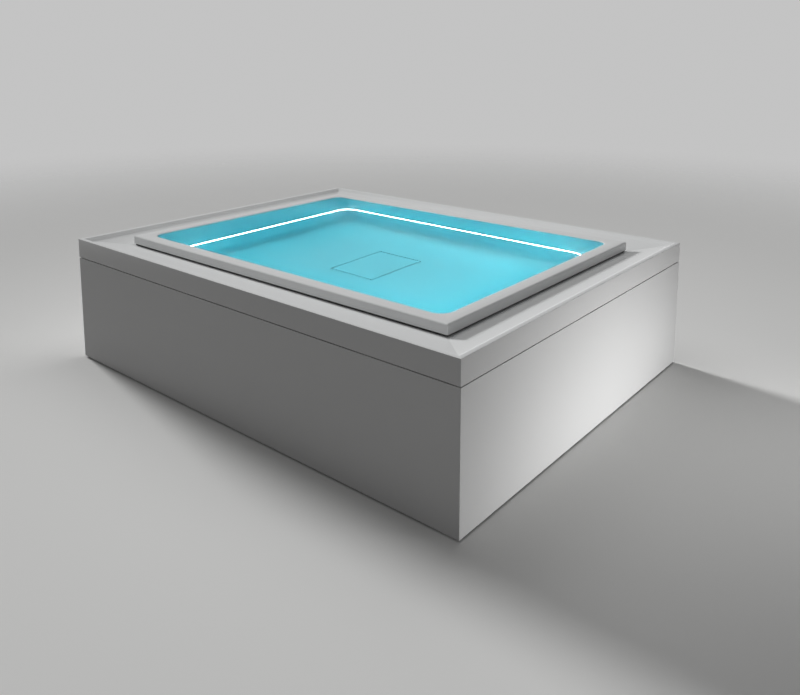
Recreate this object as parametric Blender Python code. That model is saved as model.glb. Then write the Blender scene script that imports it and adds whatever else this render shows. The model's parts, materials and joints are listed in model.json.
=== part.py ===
"""Free-standing overflow hydromassage pool, modelled as its separate pieces.

Metres, +Z up. The origin lies on the ground under the middle of the pool, with the
long side along X and the front along -Y. Each object is one physical piece.
"""
import math

import bmesh
import bpy
from mathutils import Vector

# Overall size
LENGTH = 2.300
WIDTH = 1.820
LIP_HEIGHT = 0.605

# Clearances between neighbours
SEAT = 0.0003
RUNNING_GAP = 0.0005

# Cladding panels
PANEL_T = 0.018
TOE_GAP = 0.006
SHADOW_GAP = 0.004
PANEL_OVERLAP = 0.016
PANEL_BORDER = 0.095
PANEL_RECESS = 0.006
PANEL_FIELDS = 3

# Overflow tray: d runs inwards from the outer faces
FASCIA_H = 0.090
FASCIA_T = 0.018
LIP_W = 0.020
CHAMFER_W = 0.018
CHAMFER_DROP = 0.012
TRAY_W = 0.188
TRAY_T = 0.010
LIP_BLOCK = 0.030
GUTTER_DEPTH = 0.044
GUTTER_WALL = 0.008
GUTTER_CLEAR = 0.003
TRAY_CLEAR = 0.002

# Overflow grilles in the gap under the rim
RIM_GAP = 0.008
GRILLE_SETBACK = 0.006
GRILLE_T = 0.005
GRILLE_LEDGE = 0.002
GRILLE_PITCH = 0.050
GRILLE_TOOTH = 0.012
GRILLE_BAR = 0.003

# Basin
RIM_RISE = 0.010
RIM_H = 0.038
RIM_W = 0.069
RIM_CORNER_R = 0.008
RIM_EDGE_R = 0.010
WATER_EDGE_R = 0.008
FLOOR_Z = 0.188
BASIN_T = 0.010
END_SLOPE = math.radians(19.0)
SIDE_SLOPE = math.radians(4.0)
FLOOR_FILLET_R = 0.085
MOUTH_CORNER_R = 0.050
FLOOR_CORNER_R = 0.100
CORNER_STEPS = 6
FILLET_ANGLES = (20.0, 40.0, 60.0, 80.0)
EDGE_ANGLES = (0.0, 30.0, 60.0, 90.0)

# Light strip in its groove
LIGHT_DEPTH = 0.255
LIGHT_H = 0.010
GROOVE_DEPTH = 0.006
LIGHT_RECESS = 0.0005

# Floor cover and suction sump
COVER_X = 0.256
COVER_Y = 0.354
COVER_T = 0.006
COVER_GAP = 0.008
COVER_LEG = 0.012
SUMP_LEDGE = 0.014
SUMP_WALL = 0.006
SUMP_DEPTH = 0.098
SUMP_FLANGE_W = 0.030
SUMP_FLANGE_T = 0.008
SUMP_CORNER_R = 0.010
SUMP_PORT_DROP = 0.055
SUMP_PORT_L = 0.036

# Steel frame
TUBE = 0.040
TUBE_WALL = 0.003
FOOT_H = 0.040
FOOT_INSET = 0.120
FOOT_PAD_R = 0.019
FOOT_PAD_H = 0.010
FOOT_NUT_R = 0.014
FOOT_NUT_H = 0.010
FOOT_STEM_R = 0.008
FOOT_STEM_IN = 0.030
CROSS_INSET = 0.350
BEARER_Y = 0.350

# Equipment trays in the end bays
DECK_T = 0.003
DECK_EDGE = 0.008
DECK_MARGIN = 0.002
DECK_END = 0.210
BAY_OFFSET = 0.108

# Circulation pump, its axis along Y
PUMP_FOOT = 0.020
MOTOR_L = 0.240
MOTOR_R = 0.062
MOTOR_FIN = 0.008
MOTOR_FINS = 20
FIN_ROOT = 0.55
FIN_START = 0.60
FIN_END = 0.95
MOTOR_FOOT_W = 0.100
MOTOR_FOOT_INSET = 0.024
MOTOR_FOOT_LAP = 0.022
TERMINAL_H = 0.030
TERMINAL_INSET = 0.060
SHAFT_R = 0.009
FAN_COVER_L = 0.055
FAN_COVER_LAP = 0.012
FAN_COVER_T = 0.002
FAN_R = 0.055
VOLUTE_R = 0.085
VOLUTE_L = 0.070
VOLUTE_WALL = 0.012
IMPELLER_R = 0.060
IMPELLER_T = 0.008
IMPELLER_CLEAR = 0.006
VANE_H = 0.014
VANES = 6
VANE_WIDTH = 0.5
VANE_SWEEP = 0.9
BLADE_WIDTH = 0.35
DISCHARGE_RISE = 0.025

# Pipes
SUCTION_R = 0.025
PRESSURE_R = 0.020
DRAIN_R = 0.020
COLLAR = 0.007
PIPE_BEND = 0.040
PIPE_LEAD = 0.008
PORT_L = 0.022
TEE_L = 0.140
TEE_BRANCH = 0.066

# Filter, heater and blower
FILTER_R = 0.085
FILTER_WALL = 0.006
FILTER_GAP = 0.060
FILTER_HEAD = 0.004
LID_SKIRT = 0.013
LID_T = 0.010
LID_LUGS = 6
LID_LUG = 0.006
CARTRIDGE_R = 0.068
CARTRIDGE_BORE_R = 0.022
PLEAT_DEPTH = 0.016
PLEATS = 24
HEATER_R = 0.045
HEATER_GAP = 0.100
HEATER_RUN = 0.076
FILTER_OUT_RISE = 0.060
BLOWER_R = 0.072
AIR_RISE = 0.0894
BLOWER_RIBS = 4

# Control box
BOX_X = 0.100
BOX_Y = 0.340
BOX_Z = 0.240
BOX_WALL = 0.004
BOX_LID_T = 0.012
BOX_END = 0.370

# Balance tank, manifolds and drain valve
TANK_DROP = 0.095
TANK_CLEAR = 0.002
TANK_WALL = 0.005
TANK_CORNER_R = 0.025
TANK_RIB = 0.006
TANK_RIB_SHARES = (0.33, 0.66)
OVERFLOW_X = 0.250
MANIFOLD_INSET = 0.193
MANIFOLD_H = 0.070
MANIFOLD_T = 0.048
VALVE_R = 0.034
VALVE_L = 0.070
VALVE_INSET = 0.100
STEM_R = 0.008
STEM_RISE = 0.020
HANDLE_L = 0.095
HANDLE_W = 0.020
HANDLE_T = 0.008
HANDLE_TAPER = 0.7

SIDES = 20
MEDIUM_SIDES = 16
SMALL_SIDES = 12
SHARP_ANGLE = math.radians(35.0)

# Levels worked out from the sizes above
RIM_TOP = LIP_HEIGHT + RIM_RISE
RIM_LOW = RIM_TOP - RIM_H
TRAY_LOW = RIM_LOW - RIM_GAP
GUTTER_FLOOR = TRAY_LOW - GUTTER_DEPTH
TRAY_SEAT = LIP_HEIGHT - LIP_BLOCK
FASCIA_LOW = LIP_HEIGHT - FASCIA_H
PANEL_TOP = FASCIA_LOW - SHADOW_GAP
TOP_RAIL_TOP = TRAY_SEAT - SEAT
TOP_RAIL_LOW = PANEL_TOP - PANEL_OVERLAP
BASIN_DEPTH = RIM_TOP - FLOOR_Z
FLOOR_LOW = FLOOR_Z - BASIN_T
LIGHT_Z = RIM_TOP - LIGHT_DEPTH
RAIL_TOP = FOOT_H + TUBE
DECK_LOW = RAIL_TOP + SEAT
DECK_TOP = DECK_LOW + DECK_T
SUMP_TOP = FLOOR_LOW - SEAT
SUMP_PORT_Z = FLOOR_LOW - SUMP_PORT_DROP
PUMP_Z = DECK_TOP + SEAT + PUMP_FOOT + VOLUTE_R
DISCHARGE_TOP = PUMP_Z + VOLUTE_R + DISCHARGE_RISE
FILTER_IN_Z = DISCHARGE_TOP + SEAT + PIPE_LEAD + PIPE_BEND
FILTER_TOP = FILTER_IN_Z + PRESSURE_R + COLLAR + FILTER_HEAD + LID_SKIRT
FILTER_OUT_Z = DECK_TOP + FILTER_OUT_RISE
TANK_TOP = GUTTER_FLOOR - TRAY_T - TANK_DROP
BLOWER_H = LIGHT_Z - AIR_RISE - PORT_L - SEAT - DECK_TOP

# Places in plan worked out from the sizes above
HALF_X = LENGTH / 2
HALF_Y = WIDTH / 2
RAIL_OUT = max(PANEL_T, FASCIA_T) + SEAT
RAIL_IN = RAIL_OUT + TUBE
RAIL_MID = RAIL_OUT + TUBE / 2
RIM_X = HALF_X - TRAY_W
RIM_Y = HALF_Y - TRAY_W
MOUTH_X = RIM_X - RIM_W
MOUTH_Y = RIM_Y - RIM_W
GRILLE_D = TRAY_W + GRILLE_SETBACK
GUTTER_OUT = GRILLE_D + GRILLE_T + GRILLE_LEDGE
GUTTER_IN = TRAY_W + RIM_W - BASIN_T - GUTTER_CLEAR
GUTTER_MID = (GUTTER_OUT + GUTTER_IN - GUTTER_WALL) / 2
CROSS_X = HALF_X - CROSS_INSET
BAY_X = HALF_X - RAIL_IN - BAY_OFFSET
SUMP_X = COVER_X / 2 - SUMP_LEDGE
SUMP_Y = COVER_Y / 2 - SUMP_LEDGE
SUMP_PORT_X = SUMP_X + SUMP_WALL + SUMP_PORT_L
DECK_HALF_Y = HALF_Y - DECK_END
BOX_CENTRE_Y = BOX_END - DECK_HALF_Y
MANIFOLD_HALF_Y = MOUTH_Y - MANIFOLD_INSET
HEATER_Y = -(MANIFOLD_HALF_Y + PORT_L + HEATER_RUN)
FILTER_Y = HEATER_Y + HEATER_R + HEATER_GAP + FILTER_R
FAN_END = FILTER_Y + FILTER_R + FILTER_GAP
PUMP_Y = FAN_END + FAN_COVER_L - FAN_COVER_LAP + MOTOR_L
DISCHARGE_Y = PUMP_Y + VOLUTE_L / 2
INLET_END = PUMP_Y + VOLUTE_L + PORT_L
TEE_Y = INLET_END + SEAT + TEE_L / 2
TANK_IN = HALF_Y - GUTTER_IN + TANK_CLEAR
TANK_OUT = HALF_Y - RAIL_IN - TANK_CLEAR
TANK_Y = (TANK_IN + TANK_OUT) / 2
SPAN_X = CROSS_X - SEAT
VALVE_X = -(CROSS_X + VALVE_INSET)


def finish(name, colour, roughness, metallic=0.0):
    """Make a plain finish with a colour, a roughness and a metallic value."""
    made = bpy.data.materials.new(name)
    made.use_nodes = True
    shader = made.node_tree.nodes["Principled BSDF"]
    shader.inputs["Base Color"].default_value = (*colour, 1.0)
    shader.inputs["Roughness"].default_value = roughness
    shader.inputs["Metallic"].default_value = metallic
    return made


def add_piece(name, shape, coat, at=(0.0, 0.0, 0.0), turn=(0.0, 0.0, 0.0), rounded=False):
    """Make a named object from a bmesh, with its finish, location and rotation."""
    bmesh.ops.recalc_face_normals(shape, faces=shape.faces)
    mesh = bpy.data.meshes.new(name)
    shape.to_mesh(mesh)
    shape.free()
    if rounded:
        mesh.shade_smooth()
        mesh.set_sharp_from_angle(angle=SHARP_ANGLE)
    mesh.materials.append(coat)
    piece = bpy.data.objects.new(name, mesh)
    piece.location = at
    piece.rotation_euler = turn
    bpy.context.collection.objects.link(piece)
    return piece


def combine(piece, helper, operation):
    """Join a hidden helper to a piece, or cut the piece with it."""
    helper.hide_render = True
    helper.display_type = "WIRE"
    step = piece.modifiers.new(operation.lower(), "BOOLEAN")
    step.operation = operation
    step.solver = "EXACT"
    step.object = helper


def skin(rings, loop=False):
    """Join each ring of points to the next with quads; cap both ends unless it is a loop."""
    shape = bmesh.new()
    rows = [[shape.verts.new(point) for point in ring] for ring in rings]
    pairs = list(zip(rows, rows[1:]))
    if loop:
        pairs.append((rows[-1], rows[0]))
    for low, high in pairs:
        for i in range(len(low)):
            j = (i + 1) % len(low)
            shape.faces.new((low[i], low[j], high[j], high[i]))
    if not loop:
        shape.faces.new(rows[0])
        shape.faces.new(rows[-1])
    return shape


def rectangle(half_x, half_y, z, centre=(0.0, 0.0)):
    """Four corner points of a rectangle at height z."""
    return [
        (centre[0] + sx * half_x, centre[1] + sy * half_y, z)
        for sx, sy in ((1, 1), (-1, 1), (-1, -1), (1, -1))
    ]


def rounded_rectangle(half_x, half_y, radius, z, steps=CORNER_STEPS, centre=(0.0, 0.0)):
    """Points of a rectangle with round corners at height z."""
    radius = max(radius, RUNNING_GAP)
    points = []
    for quarter, (sx, sy) in enumerate(((1, 1), (-1, 1), (-1, -1), (1, -1))):
        for step in range(steps + 1):
            angle = (quarter + step / steps) * math.pi / 2
            x = centre[0] + sx * (half_x - radius) + radius * math.cos(angle)
            y = centre[1] + sy * (half_y - radius) + radius * math.sin(angle)
            points.append((x, y, z))
    return points


def circle(radius, z, sides=SIDES):
    """Points of a circle round the Z axis at height z."""
    return [
        (radius * math.cos(math.tau * i / sides), radius * math.sin(math.tau * i / sides), z)
        for i in range(sides)
    ]


def turned(profile, sides=SIDES, loop=False):
    """Turn a list of (radius, height) points round the Z axis."""
    return skin([circle(radius, z, sides) for radius, z in profile], loop)


def wheel(profile, low, high):
    """Stand a closed outline of (radius, angle) points up from low to high along Z."""
    rings = []
    for z in (low, high):
        rings.append([(r * math.cos(a), r * math.sin(a), z) for r, a in profile])
    return skin(rings)


def block(low, high):
    """A box between two opposite corners."""
    middle = ((low[0] + high[0]) / 2, (low[1] + high[1]) / 2)
    half_x = (high[0] - low[0]) / 2
    half_y = (high[1] - low[1]) / 2
    return skin([rectangle(half_x, half_y, low[2], middle), rectangle(half_x, half_y, high[2], middle)])


UPRIGHT = (0.0, 0.0, 0.0)
ALONG_X = (0.0, math.pi / 2, 0.0)
AGAINST_X = (0.0, -math.pi / 2, 0.0)
ALONG_Y = (-math.pi / 2, 0.0, 0.0)
AGAINST_Y = (math.pi / 2, 0.0, 0.0)


def rod(name, radius, start, length, turn, coat, sides=SIDES):
    """A plain round bar from a start point along its turned axis."""
    return add_piece(name, turned([(radius, 0.0), (radius, length)], sides), coat, start, turn, True)


def square_tube(name, low, high, axis, coat):
    """A hollow rectangular tube between two corners, open at both ends along an axis."""
    across = [i for i in range(3) if i != axis]

    def ring(inset, along):
        points = []
        for a, b in ((0, 0), (1, 0), (1, 1), (0, 1)):
            point = [along, along, along]
            point[across[0]] = (low[across[0]] + inset, high[across[0]] - inset)[a]
            point[across[1]] = (low[across[1]] + inset, high[across[1]] - inset)[b]
            points.append(point)
        return points

    rings = [ring(0.0, low[axis]), ring(0.0, high[axis])]
    rings += [ring(TUBE_WALL, high[axis]), ring(TUBE_WALL, low[axis])]
    return add_piece(name, skin(rings, loop=True), coat)


def bent_path(corners, bend, steps=4):
    """Points along straight runs with an arc of the bend radius at each corner."""
    corners = [Vector(corner) for corner in corners]
    path = [corners[0]]
    for before, corner, after in zip(corners, corners[1:], corners[2:]):
        back = (before - corner).normalized()
        onward = (after - corner).normalized()
        half = back.angle(onward) / 2
        centre = corner + (back + onward).normalized() * bend / math.sin(half)
        first = corner + back * bend / math.tan(half) - centre
        last = corner + onward * bend / math.tan(half) - centre
        sweep = math.pi - 2 * half
        for step in range(steps + 1):
            share = step / steps
            turn = first * math.sin((1 - share) * sweep) + last * math.sin(share * sweep)
            path.append(centre + turn / math.sin(sweep))
    path.append(corners[-1])
    return path


def pipe(name, corners, radius, coat):
    """A round pipe that follows bent runs between its end points."""
    path = bent_path(corners, PIPE_BEND)
    curve = bpy.data.curves.new(name, "CURVE")
    curve.dimensions = "3D"
    curve.bevel_depth = radius
    curve.bevel_resolution = 3
    curve.use_fill_caps = True
    curve.materials.append(coat)
    spline = curve.splines.new("POLY")
    spline.points.add(len(path) - 1)
    for point, place in zip(spline.points, path):
        point.co = (*place, 1.0)
    piece = bpy.data.objects.new(name, curve)
    bpy.context.collection.objects.link(piece)
    return piece


def wall_half(mouth_half, slope, z, offset=0.0):
    """Half the basin's size at height z: a sloping wall with a fillet to the floor.

    The offset gives the same surface one wall thickness further out.
    """
    radius = FLOOR_FILLET_R + offset
    centre_z = FLOOR_Z + FLOOR_FILLET_R
    end_z = centre_z - radius * math.sin(slope)
    flat = floor_half(mouth_half, slope)
    if z < end_z:
        return flat + math.sqrt(max(radius ** 2 - (centre_z - z) ** 2, 0.0))
    return flat + radius * math.cos(slope) + (z - end_z) * math.tan(slope)


def floor_half(mouth_half, slope):
    """Half the flat part of the basin's floor."""
    foot = mouth_half - BASIN_DEPTH * math.tan(slope)
    return foot - FLOOR_FILLET_R * math.tan(math.pi / 4 - slope / 2)


def wall_ring(z, offset=0.0, step_out=0.0):
    """Ring of the basin's wall at height z, offset by a wall and stepped out by a groove."""
    share = (z - FLOOR_Z) / BASIN_DEPTH
    radius = FLOOR_CORNER_R + share * (MOUTH_CORNER_R - FLOOR_CORNER_R)
    half_x = wall_half(MOUTH_X, END_SLOPE, z, offset) + step_out
    half_y = wall_half(MOUTH_Y, SIDE_SLOPE, z, offset) + step_out
    return rounded_rectangle(half_x, half_y, radius + offset + step_out, z)


def cladding_panel(name, length, distance, turn, coat):
    """Flat panel with mitred ends and recessed fields in its back, facing out of the pool."""
    front = length / 2 - SEAT
    back = front - PANEL_T
    shape = bmesh.new()
    face_low = [shape.verts.new((x, 0.0, TOE_GAP)) for x in (-front, front)]
    face_high = [shape.verts.new((x, 0.0, PANEL_TOP)) for x in (-front, front)]
    stations = [-back + 2 * back * i / PANEL_FIELDS for i in range(PANEL_FIELDS + 1)]
    back_low = [shape.verts.new((x, PANEL_T, TOE_GAP)) for x in stations]
    back_high = [shape.verts.new((x, PANEL_T, PANEL_TOP)) for x in stations]
    shape.faces.new((face_low[0], face_low[1], face_high[1], face_high[0]))
    shape.faces.new((face_low[0], face_high[0], back_high[0], back_low[0]))
    shape.faces.new((face_low[1], face_high[1], back_high[-1], back_low[-1]))
    shape.faces.new((face_low[0], face_low[1], *reversed(back_low)))
    shape.faces.new((face_high[0], face_high[1], *reversed(back_high)))
    fields = []
    for i in range(PANEL_FIELDS):
        fields.append(shape.faces.new((back_low[i], back_low[i + 1], back_high[i + 1], back_high[i])))
    bmesh.ops.recalc_face_normals(shape, faces=shape.faces)
    bmesh.ops.inset_individual(shape, faces=fields, thickness=PANEL_BORDER, depth=-PANEL_RECESS)
    at = (distance * math.sin(turn), -distance * math.cos(turn), 0.0)
    return add_piece(name, shape, coat, at, (0.0, 0.0, turn))


def overflow_tray(coat):
    """Ring with the top band, the lip, the sloping floor and the gutter under the rim."""
    profile = [
        (0.0, FASCIA_LOW),
        (0.0, LIP_HEIGHT),
        (LIP_W, LIP_HEIGHT),
        (LIP_W + CHAMFER_W, LIP_HEIGHT - CHAMFER_DROP),
        (TRAY_W, TRAY_LOW),
        (GUTTER_OUT, TRAY_LOW),
        (GUTTER_OUT, GUTTER_FLOOR),
        (GUTTER_IN - GUTTER_WALL, GUTTER_FLOOR),
        (GUTTER_IN - GUTTER_WALL, RIM_LOW - SEAT),
        (GUTTER_IN, RIM_LOW - SEAT),
        (GUTTER_IN, GUTTER_FLOOR - TRAY_T),
        (GUTTER_OUT - TRAY_T, GUTTER_FLOOR - TRAY_T),
        (GUTTER_OUT - TRAY_T, TRAY_LOW - TRAY_T),
        (RAIL_IN + TRAY_CLEAR, TRAY_SEAT),
        (FASCIA_T, TRAY_SEAT),
        (FASCIA_T, FASCIA_LOW),
    ]
    rings = [rectangle(HALF_X - d, HALF_Y - d, z) for d, z in profile]
    return add_piece("overflow_tray", skin(rings, loop=True), coat)


def basin_shell(coat):
    """Basin with its rim, sloping ends, light groove and floor opening, as one loft."""
    groove_low = LIGHT_Z - LIGHT_H / 2
    groove_high = LIGHT_Z + LIGHT_H / 2
    open_x = COVER_X / 2 + COVER_GAP
    open_y = COVER_Y / 2 + COVER_GAP
    flat_x = floor_half(MOUTH_X, END_SLOPE)
    flat_y = floor_half(MOUTH_Y, SIDE_SLOPE)
    fillet = [math.radians(angle) for angle in FILLET_ANGLES]

    inner = [
        rounded_rectangle(open_x, open_y, COVER_GAP, FLOOR_Z),
        rounded_rectangle(flat_x, flat_y, FLOOR_CORNER_R, FLOOR_Z),
    ]
    inner += [wall_ring(FLOOR_Z + FLOOR_FILLET_R * (1 - math.cos(angle))) for angle in fillet]
    inner += [wall_ring(groove_low), wall_ring(groove_low, 0.0, GROOVE_DEPTH)]
    inner += [wall_ring(groove_high, 0.0, GROOVE_DEPTH), wall_ring(groove_high)]

    rim = []
    for angle in reversed(EDGE_ANGLES):
        out = WATER_EDGE_R * (1 - math.sin(math.radians(angle)))
        drop = WATER_EDGE_R * (1 - math.cos(math.radians(angle)))
        rim.append(rounded_rectangle(MOUTH_X + out, MOUTH_Y + out, MOUTH_CORNER_R + out, RIM_TOP - drop))
    for angle in EDGE_ANGLES:
        inset = RIM_EDGE_R * (1 - math.sin(math.radians(angle)))
        drop = RIM_EDGE_R * (1 - math.cos(math.radians(angle)))
        rim.append(rounded_rectangle(RIM_X - inset, RIM_Y - inset, RIM_CORNER_R - inset, RIM_TOP - drop))
    rim.append(rounded_rectangle(RIM_X, RIM_Y, RIM_CORNER_R, RIM_LOW))

    outer = [wall_ring(RIM_LOW, BASIN_T)]
    outside_r = FLOOR_FILLET_R + BASIN_T
    centre_z = FLOOR_Z + FLOOR_FILLET_R
    outer += [wall_ring(centre_z - outside_r * math.cos(angle), BASIN_T) for angle in reversed(fillet)]
    outer += [
        rounded_rectangle(flat_x, flat_y, FLOOR_CORNER_R, FLOOR_LOW),
        rounded_rectangle(open_x, open_y, COVER_GAP, FLOOR_LOW),
    ]
    return add_piece("basin_shell", skin(inner + rim + outer, loop=True), coat, rounded=True)


def light_strip(coat):
    """One loop of light that fills the groove in the basin's wall."""
    low = LIGHT_Z - LIGHT_H / 2 + SEAT
    high = LIGHT_Z + LIGHT_H / 2 - SEAT
    rings = [
        wall_ring(low, 0.0, LIGHT_RECESS),
        wall_ring(low, 0.0, GROOVE_DEPTH - SEAT),
        wall_ring(high, 0.0, GROOVE_DEPTH - SEAT),
        wall_ring(high, 0.0, LIGHT_RECESS),
    ]
    return add_piece("light_strip", skin(rings, loop=True), coat, rounded=True)


def overflow_grille(name, half_length, turn, distance, coat):
    """Comb that stands in the gap under the rim, with slots open to the tray floor."""
    low = TRAY_LOW + SEAT
    high = RIM_LOW - SEAT
    slot_top = high - GRILLE_BAR
    count = max(2, round(2 * half_length / GRILLE_PITCH))
    pitch = (2 * half_length - GRILLE_TOOTH) / count
    outline = [(half_length, high), (-half_length, high)]
    for i in range(count + 1):
        left = -half_length + i * pitch
        right = left + GRILLE_TOOTH
        if i > 0:
            outline.append((left, slot_top))
        outline += [(left, low), (right, low)]
        if i < count:
            outline.append((right, slot_top))
    rings = [[(x, y, z) for x, z in outline] for y in (0.0, GRILLE_T)]
    at = (distance * math.sin(turn), -distance * math.cos(turn), 0.0)
    return add_piece(name, skin(rings), coat, at, (0.0, 0.0, turn))


def floor_cover(coat):
    """Flush cover plate on four corner legs that stand on the sump's ledge."""
    half_x = COVER_X / 2
    half_y = COVER_Y / 2
    low = FLOOR_Z - COVER_T
    stations_x = (-half_x, -half_x + COVER_LEG, half_x - COVER_LEG, half_x)
    stations_y = (-half_y, -half_y + COVER_LEG, half_y - COVER_LEG, half_y)
    shape = bmesh.new()
    under = [[shape.verts.new((x, y, low)) for x in stations_x] for y in stations_y]
    legs = []
    for row in range(3):
        for column in range(3):
            corners = (under[row][column], under[row][column + 1])
            corners += (under[row + 1][column + 1], under[row + 1][column])
            face = shape.faces.new(corners)
            if row != 1 and column != 1:
                legs.append(face)
    edge = under[0] + [row[-1] for row in under[1:-1]] + under[-1][::-1] + [row[0] for row in under[-2:0:-1]]
    top = [shape.verts.new((vert.co.x, vert.co.y, FLOOR_Z)) for vert in edge]
    shape.faces.new(top)
    for i in range(len(edge)):
        j = (i + 1) % len(edge)
        shape.faces.new((edge[i], edge[j], top[j], top[i]))
    for face in legs:
        grown = bmesh.ops.extrude_discrete_faces(shape, faces=[face])["faces"][0]
        for vert in grown.verts:
            vert.co.z = SUMP_TOP + SEAT
    return add_piece("floor_cover", shape, coat)


def suction_sump(coat):
    """Flanged pan under the floor opening, with a ledge for the cover and two pipe ports."""
    low = SUMP_TOP - SUMP_DEPTH
    outer_x = SUMP_X + SUMP_WALL
    outer_y = SUMP_Y + SUMP_WALL
    flange_x = COVER_X / 2 + COVER_GAP + SUMP_FLANGE_W
    flange_y = COVER_Y / 2 + COVER_GAP + SUMP_FLANGE_W
    outer_r = SUMP_CORNER_R + SUMP_WALL
    sections = [
        (SUMP_X, SUMP_Y, SUMP_CORNER_R, low + SUMP_WALL),
        (SUMP_X, SUMP_Y, SUMP_CORNER_R, SUMP_TOP),
        (flange_x, flange_y, outer_r, SUMP_TOP),
        (flange_x, flange_y, outer_r, SUMP_TOP - SUMP_FLANGE_T),
        (outer_x, outer_y, outer_r, SUMP_TOP - SUMP_FLANGE_T),
        (outer_x, outer_y, outer_r, low),
    ]
    rings = [rounded_rectangle(x, y, r, z, 2) for x, y, r, z in sections]
    sump = add_piece("suction_sump", skin(rings), coat)
    for side, turn in ((1, ALONG_X), (-1, AGAINST_X)):
        start = (side * (SUMP_X + SUMP_WALL / 2), 0.0, SUMP_PORT_Z)
        length = SUMP_PORT_X - SUMP_X - SUMP_WALL / 2
        combine(sump, rod("sump_port", SUCTION_R + COLLAR, start, length, turn, coat), "UNION")
    start = (-SUMP_PORT_X - SUMP_WALL, 0.0, SUMP_PORT_Z)
    bore = rod("sump_bore", DRAIN_R, start, 2 * (SUMP_PORT_X + SUMP_WALL), ALONG_X, coat)
    combine(sump, bore, "DIFFERENCE")
    return sump


def frame(coat):
    """Base rails, cross members, floor bearers, corner posts and top rails."""
    post_low = RAIL_TOP + SEAT
    post_high = TOP_RAIL_LOW - SEAT
    end_x = HALF_X - RAIL_OUT
    rails = {}
    for level, low, high in (("base", FOOT_H, RAIL_TOP), ("top", TOP_RAIL_LOW, TOP_RAIL_TOP)):
        for side, name in ((-1, "front"), (1, "back")):
            near, far = sorted((side * (HALF_Y - RAIL_OUT), side * (HALF_Y - RAIL_IN)))
            rail = square_tube(f"{level}_rail_{name}", (-end_x, near, low), (end_x, far, high), 0, coat)
            rails[level, side] = rail
        for side, name in ((-1, "left"), (1, "right")):
            near, far = sorted((side * (HALF_X - RAIL_OUT), side * (HALF_X - RAIL_IN)))
            reach = HALF_Y - RAIL_IN - SEAT
            square_tube(f"{level}_rail_{name}", (near, -reach, low), (far, reach, high), 1, coat)
    for side_y, front in ((-1, "front"), (1, "back")):
        for side_x, left in ((-1, "left"), (1, "right")):
            x = side_x * (HALF_X - RAIL_MID)
            y = side_y * (HALF_Y - RAIL_MID)
            low = (x - TUBE / 2, y - TUBE / 2, post_low)
            high = (x + TUBE / 2, y + TUBE / 2, post_high)
            square_tube(f"corner_post_{front}_{left}", low, high, 2, coat)
    for side, name in ((-1, "left"), (1, "right")):
        reach = HALF_Y - RAIL_IN - SEAT
        x = side * CROSS_X
        low = (x - TUBE / 2, -reach, FOOT_H)
        square_tube(f"cross_member_{name}", low, (x + TUBE / 2, reach, RAIL_TOP), 1, coat)
    for side, name in ((-1, "front"), (1, "back")):
        y = side * BEARER_Y
        low = (-SPAN_X, y - TUBE / 2, RAIL_TOP + SEAT)
        square_tube(f"floor_bearer_{name}", low, (SPAN_X, y + TUBE / 2, FLOOR_LOW - SEAT), 0, coat)
    return rails


def levelling_feet(rails, coat):
    """Six pads with nut and stem; each stem goes up through a hole in its base rail."""
    profile = [
        (FOOT_PAD_R, 0.0),
        (FOOT_PAD_R, FOOT_PAD_H / 2),
        (FOOT_NUT_R, FOOT_PAD_H),
        (FOOT_NUT_R, FOOT_PAD_H + FOOT_NUT_H),
        (FOOT_STEM_R, FOOT_PAD_H + FOOT_NUT_H),
        (FOOT_STEM_R, FOOT_H + FOOT_STEM_IN),
    ]
    number = 1
    for side_y in (-1, 1):
        for side_x in (-1, 0, 1):
            at = (side_x * (HALF_X - RAIL_OUT - FOOT_INSET), side_y * (HALF_Y - RAIL_MID), 0.0)
            add_piece(f"levelling_foot_{number}", turned(profile, SMALL_SIDES), coat, at, rounded=True)
            start = (at[0], at[1], FOOT_H - TUBE_WALL)
            hole = rod("foot_hole", FOOT_STEM_R + SEAT, start, 3 * TUBE_WALL, UPRIGHT, coat, SMALL_SIDES)
            combine(rails["base", side_y], hole, "DIFFERENCE")
            number += 1


def equipment_tray(name, side, coat):
    """Shallow pan that bridges a base rail and a cross member in an end bay."""
    inner = CROSS_X + SEAT
    outer = HALF_X - RAIL_OUT - DECK_MARGIN
    middle = (side * (inner + outer) / 2, 0.0)
    half_x = (outer - inner) / 2
    rings = [
        rectangle(half_x - DECK_T, DECK_HALF_Y - DECK_T, DECK_TOP, middle),
        rectangle(half_x - DECK_T, DECK_HALF_Y - DECK_T, DECK_TOP + DECK_EDGE, middle),
        rectangle(half_x, DECK_HALF_Y, DECK_TOP + DECK_EDGE, middle),
        rectangle(half_x, DECK_HALF_Y, DECK_LOW, middle),
    ]
    return add_piece(name, skin(rings), coat)


def vane_outline(count, hub, tip, width, sweep):
    """Outline of a hub with swept vanes, as (radius, angle) points.

    The width is the angle one vane takes at the hub, the sweep the angle its tip lags.
    """
    outline = []
    for i in range(count):
        start = math.tau * i / count
        rise = [(hub + (tip - hub) * share, start + sweep * share) for share in (0.0, 0.5, 1.0)]
        outline += rise
        outline += [(r, a + width * hub / r) for r, a in reversed(rise)]
    return outline


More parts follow.
